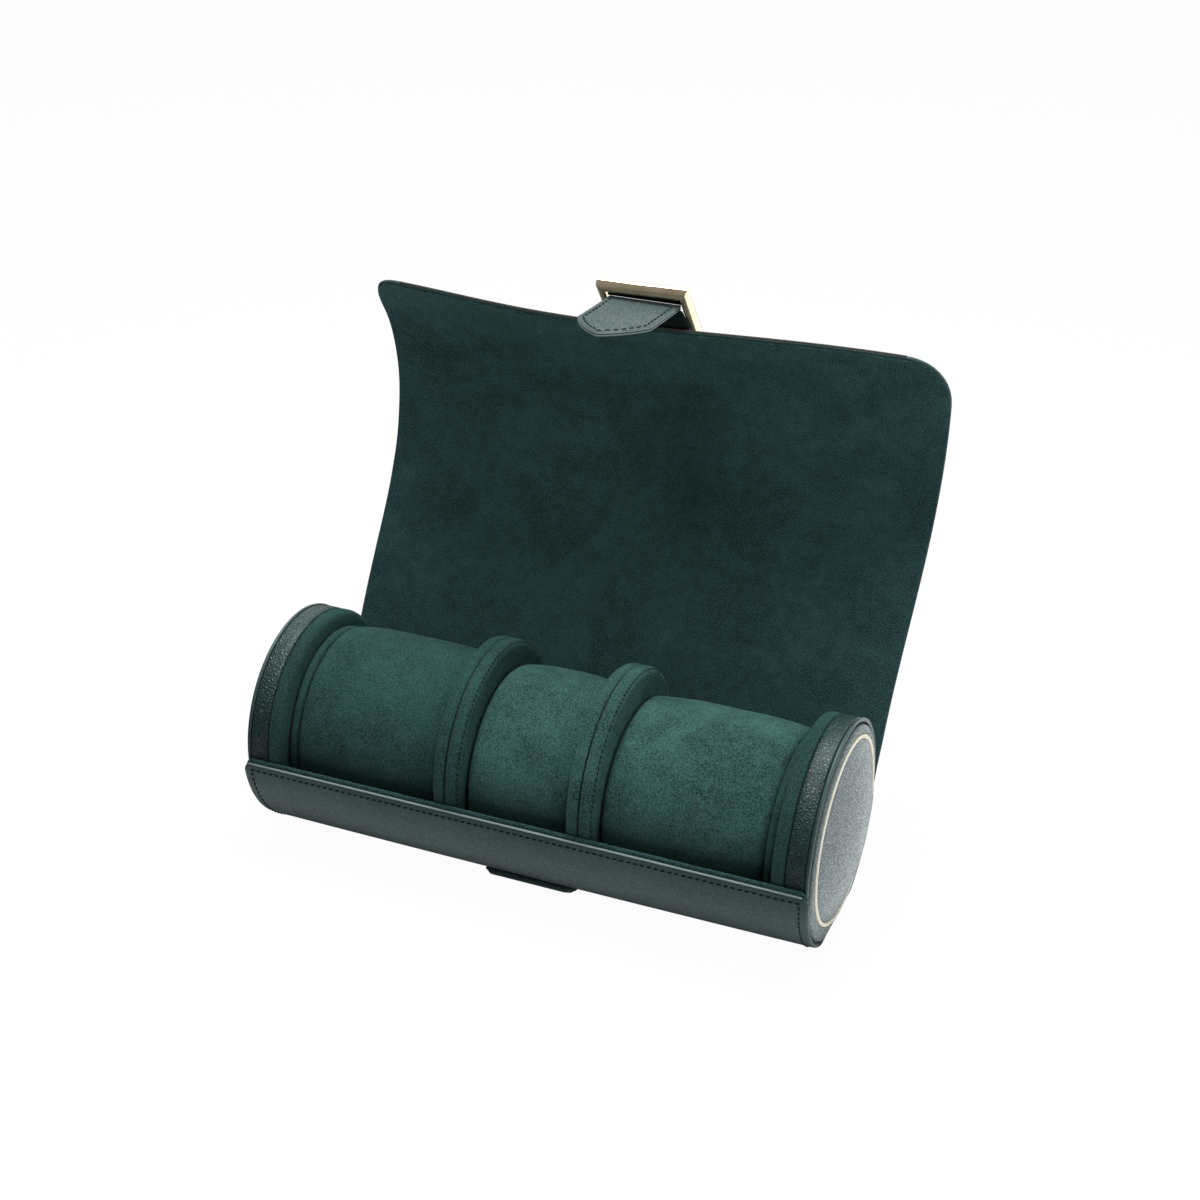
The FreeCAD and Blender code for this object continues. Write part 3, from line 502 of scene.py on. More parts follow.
flat_depth = TRAY_RADIUS - BASE_SINK
flat_half = math.sqrt(BASE_SINK * (TRAY_RADIUS + flat_depth - 2 * BASE_TOE))
toe_turn = math.degrees(math.atan2(flat_half, flat_depth - BASE_TOE))
toe_length = BASE_TOE * math.radians(toe_turn)
stretches = [round_stretch(LIP_ANGLE, 270 - toe_turn)]
stretches.append(stretches[-1].onward(toe_turn, toe_length))
stretches.append(stretches[-1].onward(0, 2 * flat_half))
stretches.append(stretches[-1].onward(toe_turn, toe_length))
stretches.append(round_stretch(270 + toe_turn, BACK_ANGLE))
stretches.append(stretches[-1].onward(WALL_TURN, WALL_LENGTH))
WALL = len(stretches) - 1
for index, turn in enumerate(PANEL_TURNS):
    panel_length = SHORT_PANEL if index < len(PANEL_TURNS) / 2 else LONG_PANEL
    stretches.append(stretches[-1].onward(turn, panel_length))
last_panel = stretches[-1]
starts = [sum(stretch.length for stretch in stretches[:index]) for index in range(len(stretches))]
wrap_length = starts[-1] + last_panel.length
flap_start = starts[WALL + 1]
curl_start = starts[WALL + 3]
belly_end = starts[2]


def climb_from(run, start):
    """Share of the way along the wrap from a start to the flap's free edge."""
    return max(0.0, min(1.0, (run - start) / (wrap_length - start)))


def flap_curl(x, run):
    """How far the flap stands out from its plain line: in at its middle and back out to the corners."""
    amount, edge = (CURL_LEFT, -HALF_WRAP) if x < CURL_LOW_X else (CURL_RIGHT, HALF_WRAP)
    side = math.sin(math.pi / 2 * min(1.0, (x - CURL_LOW_X) / (edge - CURL_LOW_X))) ** 2
    return (amount * side - FLAP_SAG) * climb_from(run, curl_start) ** 2


def wrap_point(x, run, out):
    """Point on the wrap: across it, along it from the lip, and out from the lining's face."""
    climb = climb_from(run, flap_start)
    side = x / HALF_WRAP
    across = x + FLAP_LEAN * climb ** SPREAD_POWER
    across += (SPREAD_LEFT if x < 0 else SPREAD_RIGHT) * side * climb ** SPREAD_POWER
    across += LIP_SPREAD * side * max(0.0, 1 - run / LIP_SPREAD_RUN)
    if LIP_SPREAD_RUN < run < flap_start:
        share = (run - LIP_SPREAD_RUN) / (flap_start - LIP_SPREAD_RUN)
        across -= END_TUCK * max(0.0, side) * math.sin(math.pi * share)
    if run < belly_end:
        out += TRAY_BELLY * (1 - side ** 2) * math.sin(math.pi * max(0.0, run) / belly_end)
    out += flap_curl(x, run)
    run -= FLAP_TWIST * side * climb ** 2
    index = max(place for place, start in enumerate(starts) if start <= run or place == 0)
    stretch = stretches[index]
    y, z = stretch.place((run - starts[index]) / stretch.length, out)
    return Vector((across, y, z))


def outward_at(x, run):
    return (wrap_point(x, run, 1.0) - wrap_point(x, run, 0.0)).normalized()


ROW_STEP = 2.2
CORNER_STEPS = 10
# Rims of the wrap's layers: inset from the side edges, distance out, and inset from the end edge.
LEATHER_RIM_PROFILE = [(0.5, 2.27, 0.5), (0.1, 1.85, 0.1), (0.0, 1.3, 0.0), (0.1, 0.85, 0.1),
                       (0.5, 0.6, 0.5), (1.3, 0.5, 1.3)]
LINING_RIM_PROFILE = [(0.4, 0.1, 0.75), (0.2, 0.3, 0.6), (0.3, 0.6, 0.7)]
LIP_LEATHER_PROFILE = [(0.5, 2.3, 0.45), (0.1, 2.0, 0.1), (0.0, 1.6, 0.0), (0.12, 1.2, 0.12),
                       (0.5, 1.0, 0.6), (1.5, 0.9, 1.4)]
LIP_BEAD_PROFILE = [(0.9, 0.0, 0.6), (0.85, 0.0, -0.6), (0.8, 0.1, -1.1), (0.75, 0.45, -1.4),
                    (0.75, 0.85, -1.35), (0.75, 1.2, -1.0), (0.8, 1.4, -0.5), (0.9, 1.45, 0.4)]
LINING_WAVE = 0.22
WAVE_SIZE = 16.0


def wrap_strip(open_run, end_run, out, inset, rim, columns, corner=None, wave=0.0):
    """One layer of the wrap from an open end to another, or to a free edge with round corners.

    The layer's face lies at a distance out and an inset from the edges, and the rim goes on from
    there as a list of side insets, distances out and end insets. A corner is its size across and along.
    """
    skin = Skin()
    width, length = corner or (0.0, 0.0)
    ahead = 1.0 if end_run > open_run else -1.0
    total = abs(end_run - open_run)
    rows = []
    if corner:
        for step in range(CORNER_STEPS + 1):
            angle = math.radians(90 * (1 - step / CORNER_STEPS))
            facing = Vector((math.cos(angle) * length, math.sin(angle) * width)).normalized()
            rows.append((length - (length - inset) * math.sin(angle),
                         HALF_WRAP - width + (width - inset) * math.cos(angle), *facing))
    count = max(2, math.ceil((total - length) / ROW_STEP))
    for step in range(1 if corner else 0, count + 1):
        rows.append((length + (total - length) * step / count, HALF_WRAP - inset, 1.0, 0.0))

    def place(x, run, height):
        ripple = soft((x, run, 0.0), WAVE_SIZE, wave)
        if wave:
            ripple += TURN_IN_RIDGE * math.exp(-((wrap_length - run - TURN_IN) / TURN_IN_WIDTH) ** 2)
        return wrap_point(x, run, height - ripple), Vector((x, run, height))

    grid = []
    for back, half, _, _ in rows:
        run = end_run - ahead * back
        spots = [place(half * (2 * column / columns - 1), run, out) for column in range(columns + 1)]
        grid.append(skin.ring(*zip(*spots)))
    skin.loft(grid)

    def edge(side):
        return [(side * half, back, side * across, along, grid[row][0 if side < 0 else -1])
                for row, (back, half, across, along) in enumerate(rows)]

    if corner:
        back, half = rows[0][0], rows[0][1]
        top = [(half * (2 * column / columns - 1), back, 0.0, 1.0, grid[0][column])
               for column in range(1, columns)]
        loops = [edge(-1)[::-1] + top + edge(1)]
    else:
        loops = [edge(-1), edge(1)]
    for loop in loops:
        rings = [[spot[4] for spot in loop]]
        for side_inset, rim_out, end_inset in rim:
            spots = []
            for x, back, across, along, _ in loop:
                grow = inset - side_inset - (end_inset - side_inset) * along ** 2
                spots.append(place(x + grow * across, end_run - ahead * (back - grow * along), rim_out))
            rings.append(skin.ring(*zip(*spots)))
        skin.loft(rings)
    return skin


LEATHER_INSET = 1.2
LINING_INSET = 1.0
PANELS = len(PANEL_TURNS)
middles = [start + stretch.length / 2 for start, stretch in zip(starts[WALL:], stretches[WALL:])]
bodies = ["body"] + [f"flap_{index + 1}" for index in range(PANELS)]
# Each layer of the wrap: distance out, inset, rims of flap and lip, columns, wave, finish, slot and the
# side that it faces.
layers = [("leather", WRAP_THICK, LEATHER_INSET, LEATHER_RIM_PROFILE, LIP_LEATHER_PROFILE, 44, 0.0,
           LEATHER["wrap"], "leather", 1),
          ("lining", 0.0, LINING_INSET, LINING_RIM_PROFILE, LIP_BEAD_PROFILE, 60, LINING_WAVE,
           SUEDE["lining"], "suede", -1)]


def hinge_ends(index):
    """Points where a strip starts and ends, at the middles of two panels."""
    return [wrap_point(0.0, run, WRAP_THICK / 2) * MM for run in (middles[index], middles[index + 1])]


def facing_at(run, out, side):
    """A point on the middle of a layer, and the way that the layer faces there."""
    return wrap_point(0, run, out), outward_at(0, run) * side


INTO_PANEL = 5
for layer, out, inset, rim, lip_rim, columns, wave, finish, slot, side in layers:
    hidden = ["tray_board"] if layer == "leather" else []
    skin = wrap_strip(middles[0], 0.0, out, inset, lip_rim, columns, (LIP_CORNER, LIP_CORNER), wave)
    tray_piece = skin.piece(f"tray_{layer}_skin", finish, facing_at(middles[0] / 2, out, side))
    settle(tray_piece, "body", slot, f"tray_{layer}", *hidden)
    for index in range(PANELS):
        last = index == PANELS - 1
        end_run = wrap_length if last else middles[index + 1]
        corner = (FLAP_CORNER, FLAP_CORNER_RUN) if last else None
        skin = wrap_strip(middles[index], end_run, out, inset, rim, columns, corner, wave)
        flap_piece = skin.piece(f"flap_{layer}_skin_{index + 1}", finish,
                                facing_at(middles[index] + INTO_PANEL, out, side))
        bodies[index]
        bodies[index + 1]
        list(hinge_ends(index))
        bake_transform(flap_piece)
        hidden = [f"flap_board_{index + 1}"] if layer == "leather" else []
        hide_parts(f"flap_{layer}_{index + 1}", *hidden)


# Round pieces across the tray

FLAT_POINTS = 8
TOE_POINTS = 6
SIDE_POINTS = 20
CROWN_POINTS = 90
CROWN_START = FLAT_POINTS + TOE_POINTS + SIDE_POINTS


def disc_outline(raised=0.0):
    """Points round a disc that fills the tray, each with its way out: depth, height, and those again."""
    spots = []

    def arc(y, z, radius, first, last, count):
        for step in range(count):
            angle = math.radians(first + (last - first) * step / count)
            spots.append((y + radius * math.cos(angle), z + radius * math.sin(angle),
                          math.cos(angle), math.sin(angle)))

    low = AXIS_HEIGHT - flat_depth
    for step in range(FLAT_POINTS):
        spots.append((flat_half * (2 * step / FLAT_POINTS - 1), low, 0.0, -1.0))
    arc(flat_half, low + BASE_TOE, BASE_TOE, -90, toe_turn - 90, TOE_POINTS)
    arc(0, AXIS_HEIGHT, TRAY_RADIUS, toe_turn - 90, 0, SIDE_POINTS)
    arc(0, AXIS_HEIGHT + raised, TRAY_RADIUS, 0, 180, CROWN_POINTS)
    arc(0, AXIS_HEIGHT, TRAY_RADIUS, 180, 270 - toe_turn, SIDE_POINTS)
    arc(-flat_half, low + BASE_TOE, BASE_TOE, 270 - toe_turn, 270, TOE_POINTS)
    return spots


PAD_DIMPLE = 14.0


def sweep(skin, outline, profile, uneven=0.0):
    """Rings that follow an outline, at each profile point's place along the roll and inset."""
    rings = []
    for x, inset in profile:
        points = []
        for y, z, out_y, out_z in outline:
            depth = inset - soft((x, y, z), PAD_DIMPLE, uneven)
            points.append((x, y - depth * out_y, z - depth * out_z))
        rings.append(skin.ring(points))
    skin.loft(rings, closed=True)
    return rings


def band(outline, profile):
    """Closed band that follows an outline."""
    skin = Skin()
    rings = sweep(skin, outline, profile)
    skin.join(rings[-1], rings[0], closed=True)
    return skin


def circle_ring(skin, outline, x, radius):
    """Round ring whose points face those of an outline."""
    points = []
    for y, z, _, _ in outline:
        angle = math.atan2(z - AXIS_HEIGHT, y)
        points.append((x, radius * math.cos(angle), AXIS_HEIGHT + radius * math.sin(angle)))
    return skin.ring(points)


# Profiles of the end caps: along the roll from a named place on the right end, and inwards from the tray.
# The lining starts at the cap's face, the rim at its own start, and the bead and the border at the rim's end.
cap_outline = disc_outline()
LINING_PROFILE = [(0.0, 14.0), (0.0, 6.0), (0.1, 2.6), (0.5, 1.2), (1.3, 0.45), (2.4, 0.12), (4.4, 0.1),
                  (5.2, 0.3), (5.6, 0.9), (5.65, 1.6)]
RIM_PROFILE = [(-0.05, 1.7), (-0.05, 0.95), (0.2, 0.4), (0.8, 0.12), (2.7, 0.06), (5.2, 0.06), (6.8, 0.1),
               (7.3, 0.25), (7.6, 0.9), (7.6, 1.6)]
BEAD_PROFILE = [(-0.05, 1.4), (0.0, 0.5), (0.25, 0.0), (0.7, -0.2), (1.2, -0.05), (1.5, 0.4), (1.5, 0.9),
                (1.1, 1.5)]
BORDER_PROFILE = [(0.0, 2.3), (1.1, 2.25), (1.7, 2.5), (2.1, 3.1), (2.4, 4.4)]
# The border's inner edge by the piping: along the roll from the rim's end, and out from the piping.
BORDER_EDGE = [(2.55, 0.6), (2.2, 0.0), (0.0, 0.0)]
BORDER_DROP = 2.6
BORDER_DROP_LOW = 2.0
BORDER_DROP_RUN = 12.0
LINING_UNEVEN = 0.12
PIPING_X = RIM_END + 2.1
PIPING_STEPS = 10
PANEL_BASE = RIM_END + 0.3
PANEL_EDGE = 35.1
PANEL_FOOT = 0.1
PANEL_STEP = 0.25
PANEL_RISE = 6.2
PANEL_SHARES = [0.99, 0.965, 0.93, 0.85, 0.72, 0.56, 0.38, 0.2]
# Below the lip, the border reaches down over the ends of the tray.
border_outline = []
for y, z, out_y, out_z in cap_outline:
    drop = BORDER_DROP * max(0.0, min(1.0, (AXIS_HEIGHT - z) / BORDER_DROP_RUN))
    border_outline.append((y + drop * out_y, z + min(drop, BORDER_DROP_LOW) * out_z, out_y, out_z))


def placed(profile, origin, side):
    """A cap's profile at its place on the roll's left end, with a side of -1, or on its right end."""
    return [(side * (origin + x), inset) for x, inset in profile]


for name, side in (("left", -1), ("right", 1)):
    skin = Skin()
    rings = sweep(skin, cap_outline, placed(LINING_PROFILE, CAP_FACE, side), LINING_UNEVEN)
    skin.fill(rings, side * CAP_FACE, side * RIM_START, AXIS_HEIGHT)
    piece = skin.piece(f"cap_lining_pad_{name}", SUEDE["cap"])
    settle(piece, "body", "suede", f"cap_lining_{name}", f"cap_core_{name}")

    skin = band(cap_outline, placed(RIM_PROFILE, RIM_START, side))
    settle(skin.piece(f"cap_rim_band_{name}", LEATHER["rim"]), "body", "leather", f"cap_rim_{name}")

    skin = band(cap_outline, placed(BEAD_PROFILE, RIM_END, side))
    settle(skin.piece(f"cap_rim_bead_{name}", LEATHER["bead"]), "body", "leather")

    skin = Skin()
    rings = sweep(skin, border_outline, placed(BORDER_PROFILE, RIM_END, side))
    for x, out in BORDER_EDGE:
        radius = PIPING_RADIUS + PIPING_THICK / 2 + out
        rings.append(circle_ring(skin, cap_outline, side * (RIM_END + x), radius))
    skin.loft(rings[len(BORDER_PROFILE) - 1:], closed=True)
    skin.join(rings[-1], rings[0], closed=True)
    settle(skin.piece(f"cap_border_ring_{name}", LEATHER["border"]), "body", "leather", f"cap_border_{name}")

    skin = Skin()
    rings = []
    for step in range(PIPING_STEPS):
        angle = math.radians(360 * step / PIPING_STEPS)
        rings.append(circle_ring(skin, cap_outline, side * (PIPING_X + PIPING_THICK / 2 * math.cos(angle)),
                                 PIPING_RADIUS + PIPING_THICK / 2 * math.sin(angle)))
    skin.loft(rings, closed=True, looped=True)
    settle(skin.piece(f"cap_piping_ring_{name}", LEATHER["piping"]), "body", "piping", f"cap_piping_{name}")

    skin = Skin()
    rings = [circle_ring(skin, cap_outline, side * PANEL_BASE, PANEL_EDGE)]
    for share in [1.0] + PANEL_SHARES:
        x = PIPING_X + PANEL_FOOT + PANEL_RISE * (1 - share ** 2) + (PANEL_STEP if share < 1 else 0.0)
        rings.append(circle_ring(skin, cap_outline, side * x, PANEL_EDGE * share))
    skin.loft(rings, closed=True)
    skin.fill(rings, side * PANEL_BASE, side * (PIPING_X + PANEL_FOOT + PANEL_STEP + PANEL_RISE), AXIS_HEIGHT)
    piece = skin.piece(f"cap_end_panel_{name}", LEATHER["end"])
    settle(piece, "body", "leather", f"cap_panel_{name}")


# Dividers: padded walls with a rolled rim and a sewn channel

divider_outline = disc_outline(DIVIDER_RAISE)
ROLL_STEPS = 8
DIVIDER_CLEAR = 0.1
DIVIDER_UNEVEN = 0.18
# The face of a divider, inside its rolled rim: how far it is drawn in, and its inset from the edge.
DIVIDER_FACE = [(0.15, 16.0), (0.05, 8.0)]
left_half = [(x - DIVIDER_HALF, inset) for x, inset in DIVIDER_FACE]
for step in range(ROLL_STEPS + 1):
    angle = math.radians(180 - 90 * step / ROLL_STEPS)
    left_half.append((-DIVIDER_HALF + DIVIDER_CROWN * (1 + math.cos(angle)),
                      DIVIDER_CROWN * (1 - math.sin(angle)) + DIVIDER_CLEAR))
right_half = [(-x, inset) for x, inset in reversed(left_half)]
seam = [(SEAM_PLACE - 1.1, 0.12), (SEAM_PLACE - 0.5, 0.3), (SEAM_PLACE, SEAM_DEPTH),
        (SEAM_PLACE + 0.5, 0.3), (SEAM_PLACE + 1.0, 0.12)]
DIVIDER_PROFILE = left_half + seam + right_half
for name, centre in DIVIDER_CENTRES.items():
    skin = Skin()
    rings = sweep(skin, divider_outline, [(centre + x, inset) for x, inset in DIVIDER_PROFILE],
                  DIVIDER_UNEVEN)
    skin.fill(rings, centre - DIVIDER_HALF, centre + DIVIDER_HALF, AXIS_HEIGHT)
    piece = skin.piece(f"divider_padded_{name}", SUEDE["shaded"] if name == "left" else SUEDE["divider"])
    settle(piece, "body", "suede", f"divider_cover_{name}", f"divider_core_{name}")


# Cuffs: stuffed suede barrels that a strap goes round

CUFF_SEGMENTS = 144
SWELL_RADIUS = 40
SWELL_SIZE = 19.0
DIMPLE_SIZE = 7.0
DIMPLE_SHARE = 0.3
LIFT_POWER = 1.5


def turned(skin, profile, lift, uneven):
    """Rings round the cuffs' axis, flat where they rest and raised or lowered at the crown."""
    rings = []
    for x, radius in profile:
        points = []
        for segment in range(CUFF_SEGMENTS):
            angle = 2 * math.pi * segment / CUFF_SEGMENTS - math.pi / 2
            spot = (x, SWELL_RADIUS * math.cos(angle), SWELL_RADIUS * math.sin(angle))
            swell = soft(spot, SWELL_SIZE, uneven) + soft(spot, DIMPLE_SIZE, uneven * DIMPLE_SHARE)
            reach = radius + swell
            crown = lift * max(0.0, math.sin(angle)) ** LIFT_POWER
            z = CUFF_AXIS + reach * math.sin(angle) + crown
            points.append((x, reach * math.cos(angle), max(z, CUFF_SEAT)))
        rings.append(skin.ring(points))
    skin.loft(rings, closed=True)
    return rings


BARREL_STEPS = 28
BARREL_POWER = 2.6
CUFF_UNEVEN = 0.3
END_PAD_STEPS = 12
END_PAD_UNEVEN = 0.12
for name, (first_x, last_x) in CUFF_SPANS.items():
    half = (last_x - first_x) / 2
    middle_x = (first_x + last_x) / 2
    side_radius = CUFF_RADIUS - CUFF_CROWN - CUFF_CORNER
    corner = []
    for step in range(ROLL_STEPS + 1):
        angle = math.radians(180 - 90 * step / ROLL_STEPS)
        x = CUFF_CORNER * (1 + math.cos(angle)) - half
        corner.append((x, side_radius + CUFF_CORNER * math.sin(angle)))
    barrel = []
    for step in range(1, BARREL_STEPS):
        share = 2 * step / BARREL_STEPS - 1
        barrel.append(((half - CUFF_CORNER) * share, CUFF_RADIUS - CUFF_CROWN * abs(share) ** BARREL_POWER))
    profile = corner + barrel + [(-x, radius) for x, radius in reversed(corner)]
    skin = Skin()
    rings = turned(skin, [(middle_x + x, radius) for x, radius in profile], CUFF_LIFTS[name], CUFF_UNEVEN)
    skin.fill(rings, first_x, last_x, CUFF_AXIS)
    piece = skin.piece(f"cuff_barrel_{name}", SUEDE["shaded"] if name == "left" else SUEDE["cuff"])
    settle(piece, f"cuff_{name}", "suede", f"cuff_cover_{name}", f"cuff_core_{name}")

for name, (first_x, last_x) in END_PADS.items():
    half = (last_x - first_x) / 2
    profile = []
    for step in range(END_PAD_STEPS + 1):
        angle = math.radians(180 - 180 * step / END_PAD_STEPS)
        profile.append(((first_x + last_x) / 2 + half * math.cos(angle),
                        END_PAD_RADIUS - half + half * math.sin(angle)))
    skin = Skin()
    rings = turned(skin, profile, CUFF_LIFTS[name], END_PAD_UNEVEN)
    skin.fill(rings, first_x, last_x, CUFF_AXIS)
    piece = skin.piece(f"cuff_end_roll_{name}", SUEDE["cap"])
    settle(piece, f"cuff_{name}", "suede", f"cuff_end_pad_{name}")


# The clasp

def drawn_in(outline, inset):
    """A closed outline with each point moved in from the edge."""
    middle = Vector((sum(x for x, _ in outline), sum(y for _, y in outline))) / len(outline)
    spots = [Vector(spot) for spot in outline]
    ways = []
    for index in range(len(spots)):
        along = (spots[(index + 1) % len(spots)] - spots[index - 1]).normalized()
        ways.append(Vector((along.y, -along.x)))
    turn = 1.0 if sum((spot - middle).dot(way) for spot, way in zip(spots, ways)) > 0 else -1.0
    return [spot - way * turn * inset for spot, way in zip(spots, ways)], middle


SLAB_SHARES = (0.2, 0.45, 0.7, 0.88)


def slab(outline, profile, place, material, name):
    """Closed flat piece with a shaped rim. The profile gives insets and heights from below to above."""
    skin = Skin()

    def ring(inset, height, share=1.0):
        spots, middle = drawn_in(outline, inset)
        flat = [middle.lerp(spot, share) for spot in spots]
        return skin.laid(flat, height, place)

    rings = [ring(*profile[0], share) for share in SLAB_SHARES]
    rings += [ring(inset, height) for inset, height in profile]
    rings += [ring(*profile[-1], share) for share in reversed(SLAB_SHARES)]
    skin.loft(rings, closed=True)
    skin.ends(rings)
    return skin.piece(name, material)


def edging(outline, count, low, high, place, material, name):
    """Painted edge along the first points of a slab's outline, a hair proud of it, between two heights."""
    skin = Skin()
    middle = (low + high) / 2
    profile = [(0.3, low), (0.02, low + 0.1), (-0.08, middle), (0.02, high - 0.1), (0.3, high), (0.5, middle)]
    rings = []
    for inset, height in profile:
        rings.append(skin.laid(drawn_in(outline, inset)[0][1:count - 1], height, place))
    skin.loft(rings, looped=True)
    skin.ends(list(zip(*rings)))
    return skin.piece(name, material)


BEAD_SIDES = 8


def bead(path, radius, material, name):
    """Thin rounded edge along a path of points, given with the two ways across it."""
    skin = Skin()
    rings = []
    for point, one, two in path:
        ring = []
        for step in range(BEAD_SIDES):
            angle = math.radians(360 * step / BEAD_SIDES)
            ring.append(point + (one * math.cos(angle) + two * math.sin(angle)) * radius)
        rings.append(skin.ring(ring))
    skin.loft(rings, closed=True)
    skin.ends(rings)
    return skin.piece(name, material)


def rounded(thick, edge):
    """Rim profile of a slab with rounded edges."""
    return [(edge, 0.0), (edge * 0.3, edge * 0.3), (0.0, edge), (0.0, thick - edge),
            (edge * 0.3, thick - edge * 0.3), (edge, thick)]


BOX_STEPS = 4
STRAP_STEP = 1.6
STRAP_EDGE = 0.5
STRAP_CORNER = 1.5
PAD_CORNER = 1.2


def box_outline(half, first, last, corner):
    """Outline of a strip with rounded corners, across and along."""
    spots = []
    corners = [(half - corner, first + corner, -90), (half - corner, last - corner, 0),
               (corner - half, last - corner, 90), (corner - half, first + corner, 180)]
    for centre_x, centre_y, start in corners:
        for step in range(BOX_STEPS + 1):
            angle = math.radians(start + 90 * step / BOX_STEPS)
            spots.append((centre_x + corner * math.cos(angle), centre_y + corner * math.sin(angle)))
    dense = []
    for (x, y), (next_x, next_y) in zip(spots, spots[1:] + spots[:1]):
        count = max(1, round(math.hypot(next_x - x, next_y - y) / STRAP_STEP))
        dense += [(x + (next_x - x) * step / count, y + (next_y - y) * step / count) for step in range(count)]
    return dense


end_heading = last_panel.heading_at(1.0)
nose_sag = NOSE_SAG_SHARE * flap_curl(0.0, wrap_length)
nose = Stretch(last_panel.place(1.0, WRAP_THICK + nose_sag), end_heading - STRAP_RISE, 0, STRAP_NOSE)


def on_strap(x, along, height):
    """Point on the strap: along it from its sewn end, and out from the flap's leather."""
    share = max(0.0, (along - STRAP_LENGTH) / STRAP_NOSE)
    run = wrap_length + min(0.0, along - STRAP_LENGTH)
    on_flap = wrap_point(x * (1 + STRAP_FLARE), run, WRAP_THICK + height)
    return on_flap.lerp(Vector((x + FLAP_LEAN, *nose.place(1.0, height))), share)


strap = slab(box_outline(STRAP_HALF, 0.0, STRAP_LENGTH + STRAP_NOSE, STRAP_CORNER),
             rounded(STRAP_THICK, STRAP_EDGE), on_strap, LEATHER["strap"], "clasp_strap_band")
settle(strap, "flap_6", "leather", "clasp_strap")

bore_radius = PIVOT_RADIUS + PIVOT_CLEAR
loop_radius = bore_radius + LOOP_THICK
foot_reach = loop_radius + LOOP_FOOT
pivot_along = STRAP_LENGTH - PIVOT_BACK
pad = slab(box_outline(LOOP_HALF, pivot_along - foot_reach, pivot_along + foot_reach, PAD_CORNER),
           rounded(PAD_THICK, STRAP_EDGE), lambda x, along, height: on_strap(x, along, STRAP_THICK + height),
           LEATHER["strap"], "clasp_pad_fold")
settle(pad, "flap_6", "leather", "clasp_pad")

pad_top = STRAP_THICK + PAD_THICK
pivot_out = pad_top + loop_radius
# The loop's line over the pivot bar: a sewn foot, the round over the bar and the other foot. Its two ends are
# rounded off by a trim.
LOOP_STEPS = 10
LOOP_WRAP = 140
LOOP_COLUMNS = 8
LOOP_EDGE = 0.3
LOOP_TRIM = 0.25
foot_line = [(-foot_reach, 0.0), (-foot_reach, LOOP_THICK * 0.8), (-foot_reach + 0.4, LOOP_THICK),
             (-loop_radius - 0.6, LOOP_THICK), (-loop_radius * 0.93, LOOP_THICK + 0.35)]
loop_line = list(foot_line)
for step in range(LOOP_STEPS + 1):
    angle = math.radians(90 + LOOP_WRAP * (0.5 - step / LOOP_STEPS))
    loop_line.append((loop_radius * math.cos(angle), loop_radius * (1 + math.sin(angle))))
loop_line += [(-along, height) for along, height in reversed(foot_line)]
loop_places = [LOOP_HALF * (2 * step / LOOP_COLUMNS - 1) for step in range(1, LOOP_COLUMNS)]
skin = Skin()
rings = []
for x in [-LOOP_HALF, LOOP_EDGE - LOOP_HALF] + loop_places + [LOOP_HALF - LOOP_EDGE, LOOP_HALF]:
    trim = LOOP_TRIM if abs(x) == LOOP_HALF else 0.0
    rings.append(skin.ring([on_strap(x, pivot_along + along * (1 - trim / foot_reach),
                                     pad_top + max(0.0, height - trim)) for along, height in loop_line]))
skin.loft(rings, closed=True)
skin.ends(rings)
settle(skin.piece("clasp_loop_band", LEATHER["strap"]), "flap_6", "leather", "clasp_loop")

# The metal frame: two side bars and a front bar with bevelled edges, and a round pivot bar.
pivot_share = 1 - PIVOT_BACK / last_panel.length
pivot_sag = flap_curl(0.0, wrap_length - PIVOT_BACK)
pivot_y, pivot_z = last_panel.place(pivot_share, WRAP_THICK + pivot_out + pivot_sag)
frame_turn = Matrix.Rotation(math.radians(end_heading - FRAME_TILT), 3, "X")
frame_yaw = Matrix.Rotation(math.radians(FRAME_YAW), 3, "Z")
half_frame = FRAME_WIDTH / 2
half_height = FRAME_HEIGHT / 2
FRAME_ROUND_STEPS = 4
FRAME_BEVEL = 0.8
BEVEL_ANGLE = 40
PIVOT_SIDES = 15


def on_frame(x, along, height):
    """Point of the frame: across, along from the pivot to the front, and up from its middle."""
    return Vector((FLAP_LEAN, pivot_y, pivot_z)) + frame_turn @ frame_yaw @ Vector((x, along, height))


round_height = half_height - FRAME_ROUND
section_corners = [(FRAME_ROUND, round_height, 90), (FRAME_ROUND, -round_height, 180),
                   (FRAME_BAR - FRAME_ROUND, -round_height, 270), (FRAME_BAR - FRAME_ROUND, round_height, 0)]
bar_section = []
for inset, height, first in section_corners:
    for step in range(FRAME_ROUND_STEPS + 1):
        angle = math.radians(first + 90 * step / FRAME_ROUND_STEPS)
        in_from_edge = inset + FRAME_ROUND * math.cos(angle)
        up = height + FRAME_ROUND * math.sin(angle)
        draft = FRAME_DRAFT * (1 + up / half_height) / 2 * (1 - in_from_edge / FRAME_BAR)
        bar_section.append((in_from_edge + draft, up))
skin = Skin()
stations = []
front = FRAME_LENGTH - bore_radius
for corner_x, corner_y in ((-1, 0), (-1, 1), (1, 1), (1, 0)):
    points = []
    for inset, height in bar_section:
        along = front - inset if corner_y else -bore_radius
        points.append(on_frame(corner_x * (half_frame - inset), along, height))
    stations.append(skin.ring(points))
skin.loft(stations, closed=True)
skin.ends(stations)
bar_rings = []
for x in (FRAME_BAR / 2 - half_frame, half_frame - FRAME_BAR / 2):
    turns = [2 * math.pi * step / PIVOT_SIDES for step in range(PIVOT_SIDES)]
    bar_rings.append(skin.ring([on_frame(x, PIVOT_RADIUS * math.cos(angle), PIVOT_RADIUS * math.sin(angle))
                                for angle in turns]))
skin.loft(bar_rings, closed=True)
metal = skin.piece("clasp_frame_metal", GOLD)
